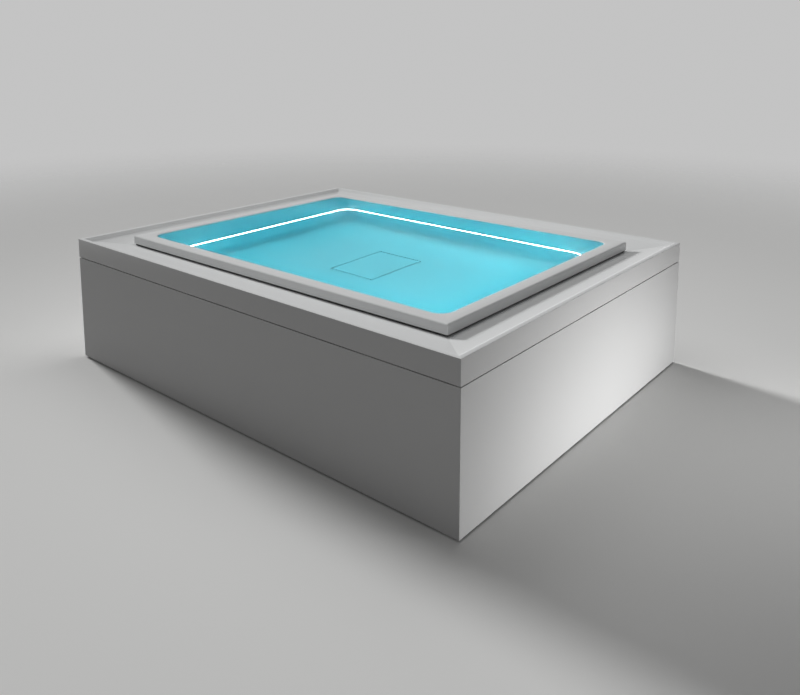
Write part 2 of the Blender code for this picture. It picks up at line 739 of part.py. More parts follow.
def pump(casing, metal, dark):
    """Circulation pump on its axis along Y: volute, finned motor, rotor and fan cover."""
    axis = (BAY_X, PUMP_Y, PUMP_Z)
    foot_low = DECK_TOP + SEAT
    cavity_low = VOLUTE_WALL
    cavity_high = VOLUTE_L - VOLUTE_WALL
    cavity_r = IMPELLER_R + IMPELLER_CLEAR
    eye_r = SUCTION_R
    profile = [
        (SHAFT_R + RUNNING_GAP, SEAT),
        (VOLUTE_R - COLLAR, SEAT),
        (VOLUTE_R, VOLUTE_WALL),
        (VOLUTE_R, VOLUTE_L - VOLUTE_WALL),
        (VOLUTE_R - VOLUTE_WALL, VOLUTE_L),
        (eye_r + COLLAR, VOLUTE_L),
        (eye_r + COLLAR, VOLUTE_L + PORT_L),
        (eye_r, VOLUTE_L + PORT_L),
        (eye_r, cavity_high),
        (cavity_r, cavity_high),
        (cavity_r, cavity_low),
        (SHAFT_R + RUNNING_GAP, cavity_low),
    ]
    volute = add_piece("pump_volute", turned(profile, loop=True), casing, axis, ALONG_Y, True)
    start = (BAY_X, DISCHARGE_Y, PUMP_Z + cavity_r + COLLAR)
    length = DISCHARGE_TOP - start[2]
    neck = rod("volute_neck", PRESSURE_R + COLLAR, start, length, UPRIGHT, casing)
    combine(volute, neck, "UNION")
    half = VOLUTE_R / 2
    low = (BAY_X - half, PUMP_Y + VOLUTE_WALL / 2, foot_low)
    high = (BAY_X + half, PUMP_Y + VOLUTE_L - VOLUTE_WALL / 2, PUMP_Z - cavity_r - COLLAR)
    combine(volute, add_piece("volute_foot", block(low, high), casing), "UNION")

    fins = []
    for i in range(MOTOR_FINS):
        start = math.tau * i / MOTOR_FINS
        step = math.tau / MOTOR_FINS
        fins += [(MOTOR_R, start), (MOTOR_R, start + FIN_ROOT * step)]
        fins.append((MOTOR_R + MOTOR_FIN, start + FIN_START * step))
        fins.append((MOTOR_R + MOTOR_FIN, start + FIN_END * step))
    bore = [(SHAFT_R + RUNNING_GAP, angle) for radius, angle in fins]
    rings = []
    for outline, z in ((fins, -MOTOR_L), (fins, -SEAT), (bore, -SEAT), (bore, -MOTOR_L)):
        rings.append([(r * math.cos(a), r * math.sin(a), z) for r, a in outline])
    motor = add_piece("pump_motor", skin(rings, loop=True), metal, axis, ALONG_Y, True)
    half = MOTOR_FOOT_W / 2
    low = (BAY_X - half, PUMP_Y - MOTOR_L + MOTOR_FOOT_INSET, foot_low)
    high = (BAY_X + half, PUMP_Y - FAN_COVER_LAP, PUMP_Z - MOTOR_R + MOTOR_FOOT_LAP)
    combine(motor, add_piece("motor_foot", block(low, high), metal), "UNION")
    low = (BAY_X - half / 2, PUMP_Y - MOTOR_L + TERMINAL_INSET, PUMP_Z + MOTOR_R - MOTOR_FIN)
    high = (BAY_X + half / 2, PUMP_Y - TERMINAL_INSET, PUMP_Z + MOTOR_R + TERMINAL_H)
    combine(motor, add_piece("terminal_box", block(low, high), metal), "UNION")

    fan_z = -MOTOR_L - FAN_COVER_L + FAN_COVER_LAP
    fan_low = fan_z + 4 * FAN_COVER_T
    fan_high = -MOTOR_L - 4 * FAN_COVER_T
    disc_low = cavity_low + IMPELLER_CLEAR / 2
    profile = [
        (SHAFT_R, fan_low),
        (SHAFT_R, disc_low),
        (IMPELLER_R, disc_low),
        (IMPELLER_R, disc_low + IMPELLER_T),
        (SHAFT_R + COLLAR, disc_low + IMPELLER_T),
        (SHAFT_R, disc_low + IMPELLER_T + VANE_H),
    ]
    rotor = add_piece("pump_rotor", turned(profile, MEDIUM_SIDES), metal, axis, ALONG_Y, True)
    vanes = vane_outline(VANES, SHAFT_R + COLLAR / 2, IMPELLER_R - COLLAR / 2, VANE_WIDTH, VANE_SWEEP)
    low = disc_low + IMPELLER_T / 2
    combine(rotor, add_piece("vanes", wheel(vanes, low, low + VANE_H), metal, axis, ALONG_Y), "UNION")
    blades = vane_outline(VANES, SHAFT_R + COLLAR, FAN_R, BLADE_WIDTH, 0.0)
    fan = add_piece("blades", wheel(blades, fan_low - SEAT, fan_high), metal, axis, ALONG_Y)
    combine(rotor, fan, "UNION")

    inside = (MOTOR_R + MOTOR_FIN + SEAT) / math.cos(math.pi / SIDES)
    outside = inside + FAN_COVER_T
    profile = [
        (SHAFT_R, fan_z),
        (outside - COLLAR, fan_z),
        (outside, fan_z + COLLAR),
        (outside, -MOTOR_L + FAN_COVER_LAP),
        (inside, -MOTOR_L + FAN_COVER_LAP),
        (inside, fan_z + COLLAR),
        (inside - COLLAR, fan_z + FAN_COVER_T),
        (SHAFT_R, fan_z + FAN_COVER_T),
    ]
    cover = add_piece("motor_fan_cover", turned(profile, loop=True), dark, axis, ALONG_Y, True)
    for i in range(3):
        angle = math.pi * i / 3
        reach = inside - 2 * COLLAR
        slot = block((-reach, -COLLAR / 2, fan_z - COLLAR), (reach, COLLAR / 2, fan_z + 2 * FAN_COVER_T))
        helper = add_piece("fan_slot", slot, dark, axis, (-math.pi / 2, angle, 0.0))
        combine(cover, helper, "DIFFERENCE")


def filter_unit(casing, paper, dark):
    """Filter canister with two ports, a pleated cartridge and a screw lid with lugs."""
    place = (BAY_X, FILTER_Y, 0.0)
    low = DECK_TOP + SEAT
    inside = FILTER_R - FILTER_WALL
    profile = [
        (inside, low + FILTER_WALL),
        (inside, FILTER_TOP),
        (FILTER_R, FILTER_TOP),
        (FILTER_R, low + FILTER_WALL),
        (FILTER_R - FILTER_WALL, low),
    ]
    housing = add_piece("filter_housing", turned(profile, 4 * LID_LUGS), casing, place, rounded=True)
    for side, z, turn in ((1, FILTER_IN_Z, ALONG_Y), (-1, FILTER_OUT_Z, AGAINST_Y)):
        start = (BAY_X, FILTER_Y + side * (FILTER_R - FILTER_WALL / 2), z)
        port = rod("filter_port", PRESSURE_R + COLLAR, start, PORT_L + FILTER_WALL / 2, turn, casing)
        combine(housing, port, "UNION")

    pleats = []
    for i in range(PLEATS):
        angle = math.tau * i / PLEATS
        pleats += [(CARTRIDGE_R, angle), (CARTRIDGE_R - PLEAT_DEPTH, angle + math.pi / PLEATS)]
    bore = [(CARTRIDGE_BORE_R, angle) for radius, angle in pleats]
    stand = low + FILTER_WALL + SEAT
    top = FILTER_TOP - LID_SKIRT
    rings = []
    for outline, z in ((pleats, stand), (pleats, top), (bore, top), (bore, stand)):
        rings.append([(r * math.cos(a), r * math.sin(a), z) for r, a in outline])
    add_piece("filter_cartridge", skin(rings, loop=True), paper, place)

    skirt = FILTER_R + SEAT
    rim = skirt + FILTER_WALL
    sides = 4 * LID_LUGS
    sections = [
        (skirt, FILTER_TOP - LID_SKIRT, 0.0),
        (skirt, FILTER_TOP + SEAT, 0.0),
        (CARTRIDGE_BORE_R, FILTER_TOP + SEAT, 0.0),
        (CARTRIDGE_BORE_R, FILTER_TOP + SEAT + LID_T / 2, 0.0),
        (CARTRIDGE_R, FILTER_TOP + SEAT + LID_T, 0.0),
        (rim, FILTER_TOP + SEAT + LID_T, 0.0),
        (rim, FILTER_TOP, LID_LUG),
        (rim, FILTER_TOP - LID_SKIRT, LID_LUG),
    ]
    rings = []
    for radius, z, lug in sections:
        ring = []
        for i in range(sides):
            out = radius + (lug if i % 4 < 2 else 0.0)
            ring.append((out * math.cos(math.tau * i / sides), out * math.sin(math.tau * i / sides), z))
        rings.append(ring)
    add_piece("filter_lid", skin(rings, loop=True), dark, place, rounded=True)


def heater(metal):
    """Upright heater whose inlet meets the filter's outlet, with an outlet to the manifold."""
    place = (BAY_X, HEATER_Y, 0.0)
    low = DECK_TOP + SEAT
    high = LIGHT_Z + SUCTION_R + COLLAR
    profile = [
        (HEATER_R, low),
        (HEATER_R, high - COLLAR),
        (HEATER_R - COLLAR, high),
        (PRESSURE_R, high),
        (PRESSURE_R, high + COLLAR),
    ]
    body = add_piece("heater_body", turned(profile), metal, place, rounded=True)
    start_y = HEATER_Y + HEATER_R - COLLAR
    length = FILTER_Y - FILTER_R - PORT_L - SEAT - start_y
    inlet = rod("heater_inlet", PRESSURE_R, (BAY_X, start_y, FILTER_OUT_Z), length, ALONG_Y, metal)
    combine(body, inlet, "UNION")
    start = (BAY_X - HEATER_R + COLLAR, HEATER_Y, LIGHT_Z)
    outlet = rod("heater_outlet", PRESSURE_R + COLLAR, start, PORT_L + COLLAR, AGAINST_X, metal)
    combine(body, outlet, "UNION")


def manifold(name, turn, coat):
    """Chamber along the outside of an end wall, behind the lit slot, with an end port."""
    low = LIGHT_Z - MANIFOLD_H / 2
    high = LIGHT_Z + MANIFOLD_H / 2
    clear = SEAT / math.cos(END_SLOPE)
    low_x = wall_half(MOUTH_X, END_SLOPE, low, BASIN_T) + clear
    high_x = wall_half(MOUTH_X, END_SLOPE, high, BASIN_T) + clear
    edge = COLLAR
    outline = [
        (low_x, low),
        (high_x, high),
        (high_x + edge, high),
        (high_x + MANIFOLD_T - edge, high - edge),
        (high_x + MANIFOLD_T - edge, low + edge),
        (high_x + MANIFOLD_T - 2 * edge, low),
    ]
    rings = [[(x, y, z) for x, z in outline] for y in (-MANIFOLD_HALF_Y, MANIFOLD_HALF_Y)]
    chamber = add_piece(name, skin(rings), coat, turn=(0.0, 0.0, turn))
    shift = Vector((manifold_x(), -MANIFOLD_HALF_Y + edge, LIGHT_Z))
    shift.x, shift.y = shift.x * math.cos(turn), shift.y * math.cos(turn)
    away = (math.pi / 2 * math.cos(turn), 0.0, 0.0)
    combine(chamber, rod("manifold_port", PRESSURE_R, shift, PORT_L + edge, away, coat), "UNION")


def manifold_x():
    """Distance of the manifold's end port from the middle of the pool."""
    wall = wall_half(MOUTH_X, END_SLOPE, LIGHT_Z + MANIFOLD_H / 2, BASIN_T)
    return wall + MANIFOLD_T / 2 - COLLAR / 2


def air_blower(casing):
    """Upright blower with a ribbed dome and its outlet on top."""
    low = DECK_TOP + SEAT
    high = low + BLOWER_H
    profile = [(BLOWER_R, low), (BLOWER_R, low + COLLAR), (BLOWER_R - COLLAR, low + COLLAR)]
    pitch = (BLOWER_H - 6 * COLLAR) / BLOWER_RIBS
    for i in range(BLOWER_RIBS):
        start = low + 2 * COLLAR + i * pitch
        profile += [(BLOWER_R - COLLAR, start), (BLOWER_R, start), (BLOWER_R, start + pitch / 2)]
        profile.append((BLOWER_R - COLLAR, start + pitch / 2))
    profile += [
        (BLOWER_R - COLLAR, high - 3 * COLLAR),
        (BLOWER_R - 3 * COLLAR, high),
        (PRESSURE_R + COLLAR, high),
        (PRESSURE_R + COLLAR, high + PORT_L),
    ]
    add_piece("air_blower", turned(profile), casing, (-BAY_X, -HEATER_Y, 0.0), rounded=True)
    return high + PORT_L


def control_box(casing, dark):
    """Open enclosure on the left tray and the lid that closes it on its outer side."""
    low_z = DECK_TOP + SEAT
    inner_x = -BAY_X + BOX_X / 2
    outer_x = -BAY_X - BOX_X / 2
    half_y = BOX_Y / 2
    middle_z = low_z + BOX_Z / 2

    def ring(x, inset):
        return [
            (x, BOX_CENTRE_Y + sy * (half_y - inset), middle_z + sz * (BOX_Z / 2 - inset))
            for sy, sz in ((1, 1), (-1, 1), (-1, -1), (1, -1))
        ]

    rings = [ring(inner_x - BOX_WALL, BOX_WALL), ring(outer_x, BOX_WALL)]
    rings += [ring(outer_x, 0.0), ring(inner_x, 0.0)]
    add_piece("control_box", skin(rings), casing)
    seat_x = outer_x - SEAT
    rings = [ring(seat_x, 0.0), ring(seat_x - BOX_LID_T / 2, 0.0), ring(seat_x - BOX_LID_T, BOX_LID_T)]
    add_piece("control_lid", skin(rings), dark)


def balance_tank(coat):
    """Ribbed tank under the back gutter that takes the overflow, with two ports."""
    low = RAIL_TOP + SEAT
    half_y = (TANK_OUT - TANK_IN) / 2
    middle = (0.0, TANK_Y)

    def ring(inset, z):
        return rounded_rectangle(SPAN_X - inset, half_y - inset, TANK_CORNER_R - inset, z, 3, middle)

    height = TANK_TOP - low
    rings = [ring(TANK_RIB, low), ring(0.0, low + TANK_RIB)]
    for share in TANK_RIB_SHARES:
        z = low + share * height
        rings += [ring(0.0, z - 2 * TANK_RIB), ring(TANK_RIB, z - TANK_RIB)]
        rings += [ring(TANK_RIB, z + TANK_RIB), ring(0.0, z + 2 * TANK_RIB)]
    rings += [ring(0.0, TANK_TOP - TANK_RIB), ring(TANK_RIB, TANK_TOP)]
    tank = add_piece("balance_tank", skin(rings), coat)
    inlet = (OVERFLOW_X, HALF_Y - GUTTER_MID, TANK_TOP - TANK_WALL)
    rise = TANK_WALL + PORT_L
    combine(tank, rod("tank_inlet", PRESSURE_R + COLLAR / 2, inlet, rise, UPRIGHT, coat), "UNION")
    outlet = (SPAN_X - TANK_RIB - TANK_WALL / 2, TANK_Y, PUMP_Z)
    reach = SPAN_X + PORT_L - outlet[0]
    combine(tank, rod("tank_outlet", SUCTION_R + COLLAR, outlet, reach, ALONG_X, coat), "UNION")
    inset = TANK_RIB + TANK_WALL
    hollow = [ring(inset, low + inset), ring(inset, TANK_TOP - inset)]
    room = add_piece("tank_hollow", skin(hollow), coat)
    start = (inlet[0], inlet[1], TANK_TOP - 2 * inset)
    bore = rod("tank_bore", PRESSURE_R - COLLAR / 2, start, 3 * inset + PORT_L, UPRIGHT, coat)
    combine(room, bore, "UNION")
    combine(tank, room, "DIFFERENCE")


def suction_tee(coat):
    """Tee before the pump's inlet, with a branch towards the sump."""
    wide = SUCTION_R + COLLAR
    profile = [
        (wide, -TEE_L / 2),
        (wide, -TEE_L / 2 + PORT_L),
        (SUCTION_R, -TEE_L / 2 + PORT_L),
        (SUCTION_R, TEE_L / 2 - PORT_L),
        (wide, TEE_L / 2 - PORT_L),
        (wide, TEE_L / 2),
    ]
    place = (BAY_X, TEE_Y, PUMP_Z)
    tee = add_piece("suction_tee", turned(profile), coat, place, ALONG_Y, True)
    branch = rod("tee_branch", SUCTION_R, place, TEE_BRANCH, AGAINST_X, coat)
    combine(tee, branch, "UNION")


def drain_line(coat, metal):
    """Drain pipe from the sump through a ball valve to a capped end, and the valve's handle."""
    start = -SUMP_PORT_X - SEAT
    end = -BAY_X - VALVE_L
    wide = DRAIN_R + COLLAR
    profile = [
        (DRAIN_R, end),
        (DRAIN_R, VALVE_X - VALVE_L / 2 - COLLAR),
        (wide, VALVE_X - VALVE_L / 2),
        (VALVE_R, VALVE_X - VALVE_L / 4),
        (VALVE_R, VALVE_X + VALVE_L / 4),
        (wide, VALVE_X + VALVE_L / 2),
        (DRAIN_R, VALVE_X + VALVE_L / 2 + COLLAR),
        (DRAIN_R, start),
    ]
    place = (0.0, 0.0, SUMP_PORT_Z)
    line = add_piece("drain_line", turned(profile, MEDIUM_SIDES), coat, place, ALONG_X, True)
    boss = (VALVE_X, 0.0, SUMP_PORT_Z + VALVE_R / 2)
    reach = VALVE_R / 2 + STEM_RISE
    combine(line, rod("valve_boss", STEM_R, boss, reach, UPRIGHT, coat, SMALL_SIDES), "UNION")

    hub_z = SUMP_PORT_Z + VALVE_R + STEM_RISE + SEAT
    half = HANDLE_W / 2
    tip = HANDLE_TAPER * half
    outline = []
    for step in range(9):
        angle = math.pi + math.pi * step / 8
        outline.append((half * math.cos(angle), half * math.sin(angle)))
    for step in range(7):
        angle = math.pi * step / 6
        outline.append((tip * math.cos(angle), HANDLE_L + tip * math.sin(angle)))
    rings = [[(x, y, z) for x, y in outline] for z in (0.0, HANDLE_T)]
    add_piece("drain_valve_handle", skin(rings), metal, (VALVE_X, 0.0, hub_z))


def pipes(coat, blower_top):
    """The runs of pipe between the sump, tank, pump, filter, heater, blower and manifolds."""
    run_x = CROSS_X + TUBE
    suction = [
        (BAY_X - TEE_BRANCH - SEAT, TEE_Y, PUMP_Z),
        (run_x, TEE_Y, PUMP_Z),
        (run_x, 0.0, SUMP_PORT_Z),
        (SUMP_PORT_X + SEAT, 0.0, SUMP_PORT_Z),
    ]
    pipe("suction_pipe", suction, SUCTION_R, coat)
    back = [
        (SPAN_X + PORT_L + SEAT, TANK_Y, PUMP_Z),
        (BAY_X, TANK_Y, PUMP_Z),
        (BAY_X, TEE_Y + TEE_L / 2 + SEAT, PUMP_Z),
    ]
    pipe("return_pipe", back, SUCTION_R, coat)
    pressure = [
        (BAY_X, DISCHARGE_Y, DISCHARGE_TOP + SEAT),
        (BAY_X, DISCHARGE_Y, FILTER_IN_Z),
        (BAY_X, FILTER_Y + FILTER_R + PORT_L + SEAT, FILTER_IN_Z),
    ]
    pipe("pressure_pipe", pressure, PRESSURE_R, coat)
    port_x = manifold_x()
    port_y = MANIFOLD_HALF_Y + PORT_L + SEAT
    delivery = [
        (BAY_X - HEATER_R - PORT_L - SEAT, HEATER_Y, LIGHT_Z),
        (port_x, HEATER_Y, LIGHT_Z),
        (port_x, -port_y, LIGHT_Z),
    ]
    pipe("delivery_pipe", delivery, PRESSURE_R, coat)
    air = [
        (-BAY_X, -HEATER_Y, blower_top + SEAT),
        (-BAY_X, -HEATER_Y, LIGHT_Z),
        (-port_x, -HEATER_Y, LIGHT_Z),
        (-port_x, port_y, LIGHT_Z),
    ]
    pipe("air_pipe", air, PRESSURE_R, coat)
    fall = [
        (OVERFLOW_X, HALF_Y - GUTTER_MID, GUTTER_FLOOR - TRAY_T - SEAT),
        (OVERFLOW_X, HALF_Y - GUTTER_MID, TANK_TOP + PORT_L + SEAT),
    ]
    pipe("overflow_pipe", fall, PRESSURE_R - COLLAR / 2, coat)


def main():
    """Clear the scene and build every piece."""
    for old in list(bpy.data.objects):
        bpy.data.objects.remove(old, do_unlink=True)

    laminate = finish("matte_laminate", (0.62, 0.62, 0.61), 0.5)
    acrylic = finish("white_acrylic", (0.80, 0.81, 0.81), 0.25)
    light = finish("light_diffuser", (0.95, 0.99, 0.98), 0.3)
    steel = finish("galvanised_steel", (0.45, 0.46, 0.47), 0.45, 1.0)
    pvc = finish("pipe_plastic", (0.55, 0.57, 0.58), 0.4)
    casing = finish("grey_casing", (0.18, 0.19, 0.20), 0.45)
    dark = finish("black_plastic", (0.03, 0.03, 0.035), 0.5)
    paper = finish("filter_paper", (0.80, 0.80, 0.76), 0.9)
    cast = finish("cast_aluminium", (0.50, 0.51, 0.52), 0.5, 1.0)

    long_reach = HALF_X - GRILLE_D
    short_reach = HALF_Y - GRILLE_D - GRILLE_T - SEAT
    sides = (
        ("front", LENGTH, HALF_Y, long_reach, 0.0),
        ("right", WIDTH, HALF_X, short_reach, 90.0),
        ("back", LENGTH, HALF_Y, long_reach, 180.0),
        ("left", WIDTH, HALF_X, short_reach, 270.0),
    )
    for name, length, distance, reach, degrees in sides:
        turn = math.radians(degrees)
        cladding_panel(f"{name}_panel", length, distance, turn, laminate)
        overflow_grille(f"overflow_grille_{name}", reach, turn, distance - GRILLE_D, dark)
    overflow_tray(acrylic)
    basin_shell(acrylic)
    light_strip(light)
    floor_cover(acrylic)
    suction_sump(acrylic)
    rails = frame(steel)
    levelling_feet(rails, dark)
    equipment_tray("equipment_tray_left", -1, steel)
    equipment_tray("equipment_tray_right", 1, steel)
    pump(casing, cast, dark)
    filter_unit(casing, paper, dark)
    heater(cast)
    manifold("water_manifold", 0.0, pvc)
    manifold("air_manifold", math.pi, pvc)
    blower_top = air_blower(casing)
    control_box(casing, dark)
    balance_tank(pvc)
    suction_tee(pvc)
    drain_line(pvc, dark)
    pipes(pvc, blower_top)


main()
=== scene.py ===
"""Looks of a free-standing overflow hydromassage pool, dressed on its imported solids.

Metres, +Z up, the long side along X and the front towards -Y. Each sub-assembly is a class
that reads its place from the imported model, works out its surfaces with numpy and dresses them.
"""
from __future__ import annotations

import json
import logging
import math
from abc import ABC, abstractmethod
from dataclasses import dataclass, field
from enum import Enum

import bmesh
import bpy
import numpy as np
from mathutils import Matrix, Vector

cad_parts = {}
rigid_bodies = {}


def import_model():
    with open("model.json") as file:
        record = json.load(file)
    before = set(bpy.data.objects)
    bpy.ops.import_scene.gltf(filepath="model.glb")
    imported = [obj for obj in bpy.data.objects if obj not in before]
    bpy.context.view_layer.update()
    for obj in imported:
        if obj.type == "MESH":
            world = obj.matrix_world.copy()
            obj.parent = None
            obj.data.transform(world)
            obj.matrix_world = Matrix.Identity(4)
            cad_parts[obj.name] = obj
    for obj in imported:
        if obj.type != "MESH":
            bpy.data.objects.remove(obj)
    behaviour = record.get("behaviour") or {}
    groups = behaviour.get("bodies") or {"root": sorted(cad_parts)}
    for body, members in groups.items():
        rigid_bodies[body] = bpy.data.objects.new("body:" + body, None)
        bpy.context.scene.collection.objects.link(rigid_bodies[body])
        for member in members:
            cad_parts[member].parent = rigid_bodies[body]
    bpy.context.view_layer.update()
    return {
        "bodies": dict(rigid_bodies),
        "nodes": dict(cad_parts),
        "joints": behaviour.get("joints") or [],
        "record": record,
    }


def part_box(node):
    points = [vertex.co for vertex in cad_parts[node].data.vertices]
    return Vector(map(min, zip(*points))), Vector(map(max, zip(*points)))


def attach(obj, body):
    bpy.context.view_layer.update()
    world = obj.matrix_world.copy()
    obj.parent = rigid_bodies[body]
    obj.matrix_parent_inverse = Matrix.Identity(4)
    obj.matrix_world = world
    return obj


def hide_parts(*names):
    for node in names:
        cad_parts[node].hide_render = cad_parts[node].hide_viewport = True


LOG = logging.getLogger("pool")
Array = np.ndarray

# The picture's width in pixels, and the camera's sensor width in millimetres.
IMAGE_WIDTH = 800
SENSOR_WIDTH = 36.0
ROOT_BODY = "pool"
ORIGIN = (0.0, 0.0, 0.0)
# Points closer than this become one.
WELD = 1e-6
# The hair's breadth between faces that would otherwise lie in one another.
SEAT = 0.0003
# Angle in degrees above which an edge shows as an edge.
SHARP_EDGE = 32.0
DUST_COLOUR = (0.42, 0.41, 0.39)


class Slot(str, Enum):
    """The finishes that the record names."""

    LAMINATE = "laminate"
    ACRYLIC = "acrylic"
    LIGHT = "light"
    WATER = "water"
    STEEL = "steel"
    PIPE = "pipe_plastic"
    CASING = "casing"
    BLACK = "black_plastic"
    PAPER = "filter_paper"
    CAST = "cast"


class Side(Enum):
    """The four sides of the pool, each with the quarter turns that bring the front to it."""

    FRONT = 0
    RIGHT = 1
    BACK = 2
    LEFT = 3

    @property
    def word(self) -> str:
        """The side's name as the model's nodes use it."""
        return self.name.lower()

    @property
    def along(self) -> int:
        """The coordinate that runs along the side: 0 for X, 1 for Y."""
        return self.value % 2

    def reach(self, node: str) -> tuple:
        """Sizes of a solid on this side, as if it stood at the front.

        Args:
            node: The solid.

        Returns:
            Half its length, and the distances of its near and its far face from the pool's middle.
        """
        low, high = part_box(node)
        across = 1 - self.along
        near, far = sorted((abs(low[across]), abs(high[across])))
        return (high[self.along] - low[self.along]) / 2, near, far


class Axis(Enum):
    """A turning axis, with the two directions that span the plane across it."""

    X = 0
    Y = 1
    Z = 2

    def spread(self, across: Array, over: Array, along: Array) -> Array:
        """Stack three components so that the last one runs along this axis.

        Args:
            across: Components along the axis that follows this one.
            over: Components along the axis after that.
            along: Components along this axis.

        Returns:
            Points with x, y and z in the last dimension.
        """
        parts = [None, None, None]
        parts[self.value] = along
        parts[(self.value + 1) % 3] = across
        parts[(self.value + 2) % 3] = over
        return np.stack(np.broadcast_arrays(*parts), axis=-1)


def span(node: str) -> tuple:
    """Half sizes and middle of a solid's box, as arrays."""
    low, high = (np.array(corner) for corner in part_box(node))
    return (high - low) / 2, (high + low) / 2


def quarter_arc(count: int) -> Array:
    """Angles in even steps from nought to a right angle."""
    return np.radians(np.linspace(0.0, 90.0, count))


def full_turn(count: int) -> Array:
    """Angles in even steps round a full turn."""
    return np.linspace(0.0, math.tau, count, endpoint=False)


def soften(corners: Array, setback: Array | float, steps: int = 4, closed: bool = False) -> Array:
    """Round the corners of a polyline with circular arcs.

    Each corner V becomes ((1-t)^2 A + 2 t (1-t) w V + t^2 B) over its weights' sum, where A and B
    lie the setback before and after V, and w is the cosine of half the turn.

    Args:
        corners: Points of the polyline, one per row.
        setback: How far before and after each corner its arc starts and ends.
        steps: Pieces in each arc.
        closed: Whether the last point joins the first.

    Returns:
        Points of the rounded polyline.
    """
    corners = np.asarray(corners, float)
    back = np.roll(corners, 1, axis=0) - corners
    onward = np.roll(corners, -1, axis=0) - corners
    setback = np.array(np.broadcast_to(setback, len(corners)), float)
    if not closed:
        back[0], onward[-1] = -onward[0], -back[-1]
        setback[[0, -1]] = 0.0
    back /= np.linalg.norm(back, axis=1, keepdims=True)
    onward /= np.linalg.norm(onward, axis=1, keepdims=True)
    weight = np.sqrt(np.clip((1.0 - (back * onward).sum(axis=1)) / 2.0, 0.0, 1.0))[:, None, None]
    t = np.linspace(0.0, 1.0, steps + 1)[None, :, None]
    start = (corners + back * setback[:, None])[:, None, :]
    end = (corners + onward * setback[:, None])[:, None, :]
    first, middle, last = (1 - t) ** 2, 2 * t * (1 - t) * weight, t ** 2
    curve = (first * start + middle * corners[:, None, :] + last * end) / (first + middle + last)
    points = curve.reshape(-1, corners.shape[1])
    fresh = np.linalg.norm(np.diff(points, axis=0), axis=1) > WELD
    return points[np.concatenate([[True], fresh])]


def rounded_rings(
    half_x: Array,
    half_y: Array,
    radius: Array,
    height: Array,
    steps: int = 14,
    origin: tuple = ORIGIN,
    axis: Axis = Axis.Z,
) -> Array:
    """Rings of a rectangle with round corners, one ring per row.

    A corner point is the corner's centre plus the radius times (cos a, sin a), a over a quarter turn.

    Args:
        half_x: Half lengths along the first direction across the axis, which is X for Z.
        half_y: Half lengths along the second one, which is Y for Z.
        radius: Corner radii.
        height: Heights of the rings along the axis.
        steps: Pieces in each quarter turn.
        origin: A point on the axis, from which the heights count.
        axis: The axis that the rings go round.

    Returns:
        Points of shape (rings, 4 * (steps + 1), 3).
    """
    given = (np.atleast_1d(np.asarray(value, float)) for value in (half_x, half_y, radius, height))
    half_x, half_y, radius, height = (value[:, None] for value in np.broadcast_arrays(*given))
    quarter = np.repeat(np.arange(4), steps + 1)
    angle = (quarter + np.tile(np.arange(steps + 1) / steps, 4)) * math.pi / 2
    sign_x = np.array([1, -1, -1, 1])[quarter]
    sign_y = np.array([1, 1, -1, -1])[quarter]
    x = sign_x * (half_x - radius) + radius * np.cos(angle)
    y = sign_y * (half_y - radius) + radius * np.sin(angle)
    return axis.spread(x, y, height) + np.asarray(origin)


def lathe(
    profile: Array,
    origin: tuple = ORIGIN,
    axis: Axis = Axis.Z,
    sides: int = 48,
    swell: Array | float = 0.0,
) -> Array:
    """Turn a profile of (radius, height) points round an axis.

    The point at angle a is origin + height along the axis + (radius + swell) * (cos a, sin a) across it.

    Args:
        profile: Radius and height of each row.
        origin: A point on the axis, from which the heights count.
        axis: The turning axis.
        sides: Points round the axis.
        swell: What to add to the radius, by row and column.

    Returns:
        Points of shape (rows, sides, 3).
    """
    profile = np.asarray(profile, float)
    angle = full_turn(sides)[None, :]
    radius = profile[:, :1] + swell
    return axis.spread(radius * np.cos(angle), radius * np.sin(angle), profile[:, 1:]) + np.asarray(origin)


def sweep(path: Array, radius: Array | float, reference: tuple, sides: int) -> Array:
    """Carry a circle along a path.

    With T the path's direction, N = T x reference and B = T x N, the point at angle a is
    path + radius * (cos a * N + sin a * B).

    Args:
        path: Points of the path.
        radius: One radius, or one for each point.
        reference: A direction that the path never follows.
        sides: Points round the circle.

    Returns:
        Points of shape (path points, sides, 3).
    """
    along = np.gradient(path, axis=0)
    along /= np.linalg.norm(along, axis=1, keepdims=True)
    normal = np.cross(along, np.asarray(reference, float))
    normal /= np.linalg.norm(normal, axis=1, keepdims=True)
    other = np.cross(along, normal)
    angle = full_turn(sides)[None, :, None]
    size = np.broadcast_to(np.asarray(radius, float), len(path))[:, None, None]
    circle = np.cos(angle) * normal[:, None, :] + np.sin(angle) * other[:, None, :]
    return path[:, None, :] + size * circle


def quarter_turns(points: Array, turns: int) -> Array:
    """Turn points about the Z axis by whole quarter turns.

    Args:
        points: Points with x, y and z in the last dimension.
        turns: How many quarter turns, counter-clockwise from above.

    Returns:
        The turned points.
    """
    cosine, sine = ((1, 0), (0, 1), (-1, 0), (0, -1))[turns % 4]
    x, y, z = points[..., 0], points[..., 1], points[..., 2]
    return np.stack([x * cosine - y * sine, x * sine + y * cosine, z], axis=-1)


def four_corners(middle: tuple, reach: tuple, axis: Axis = Axis.Z) -> Array:
    """Corners of a rectangle across an axis: the middle plus or minus each half side.

    Args:
        middle: The rectangle's middle.
        reach: Its half sides, in the two directions across the axis.
        axis: The direction that it faces.

    Returns:
        One corner per row.
    """
    first, second = np.array([(-1, -1), (-1, 1), (1, -1), (1, 1)]).T
    return axis.spread(first * reach[0], second * reach[1], 0.0) + np.asarray(middle)


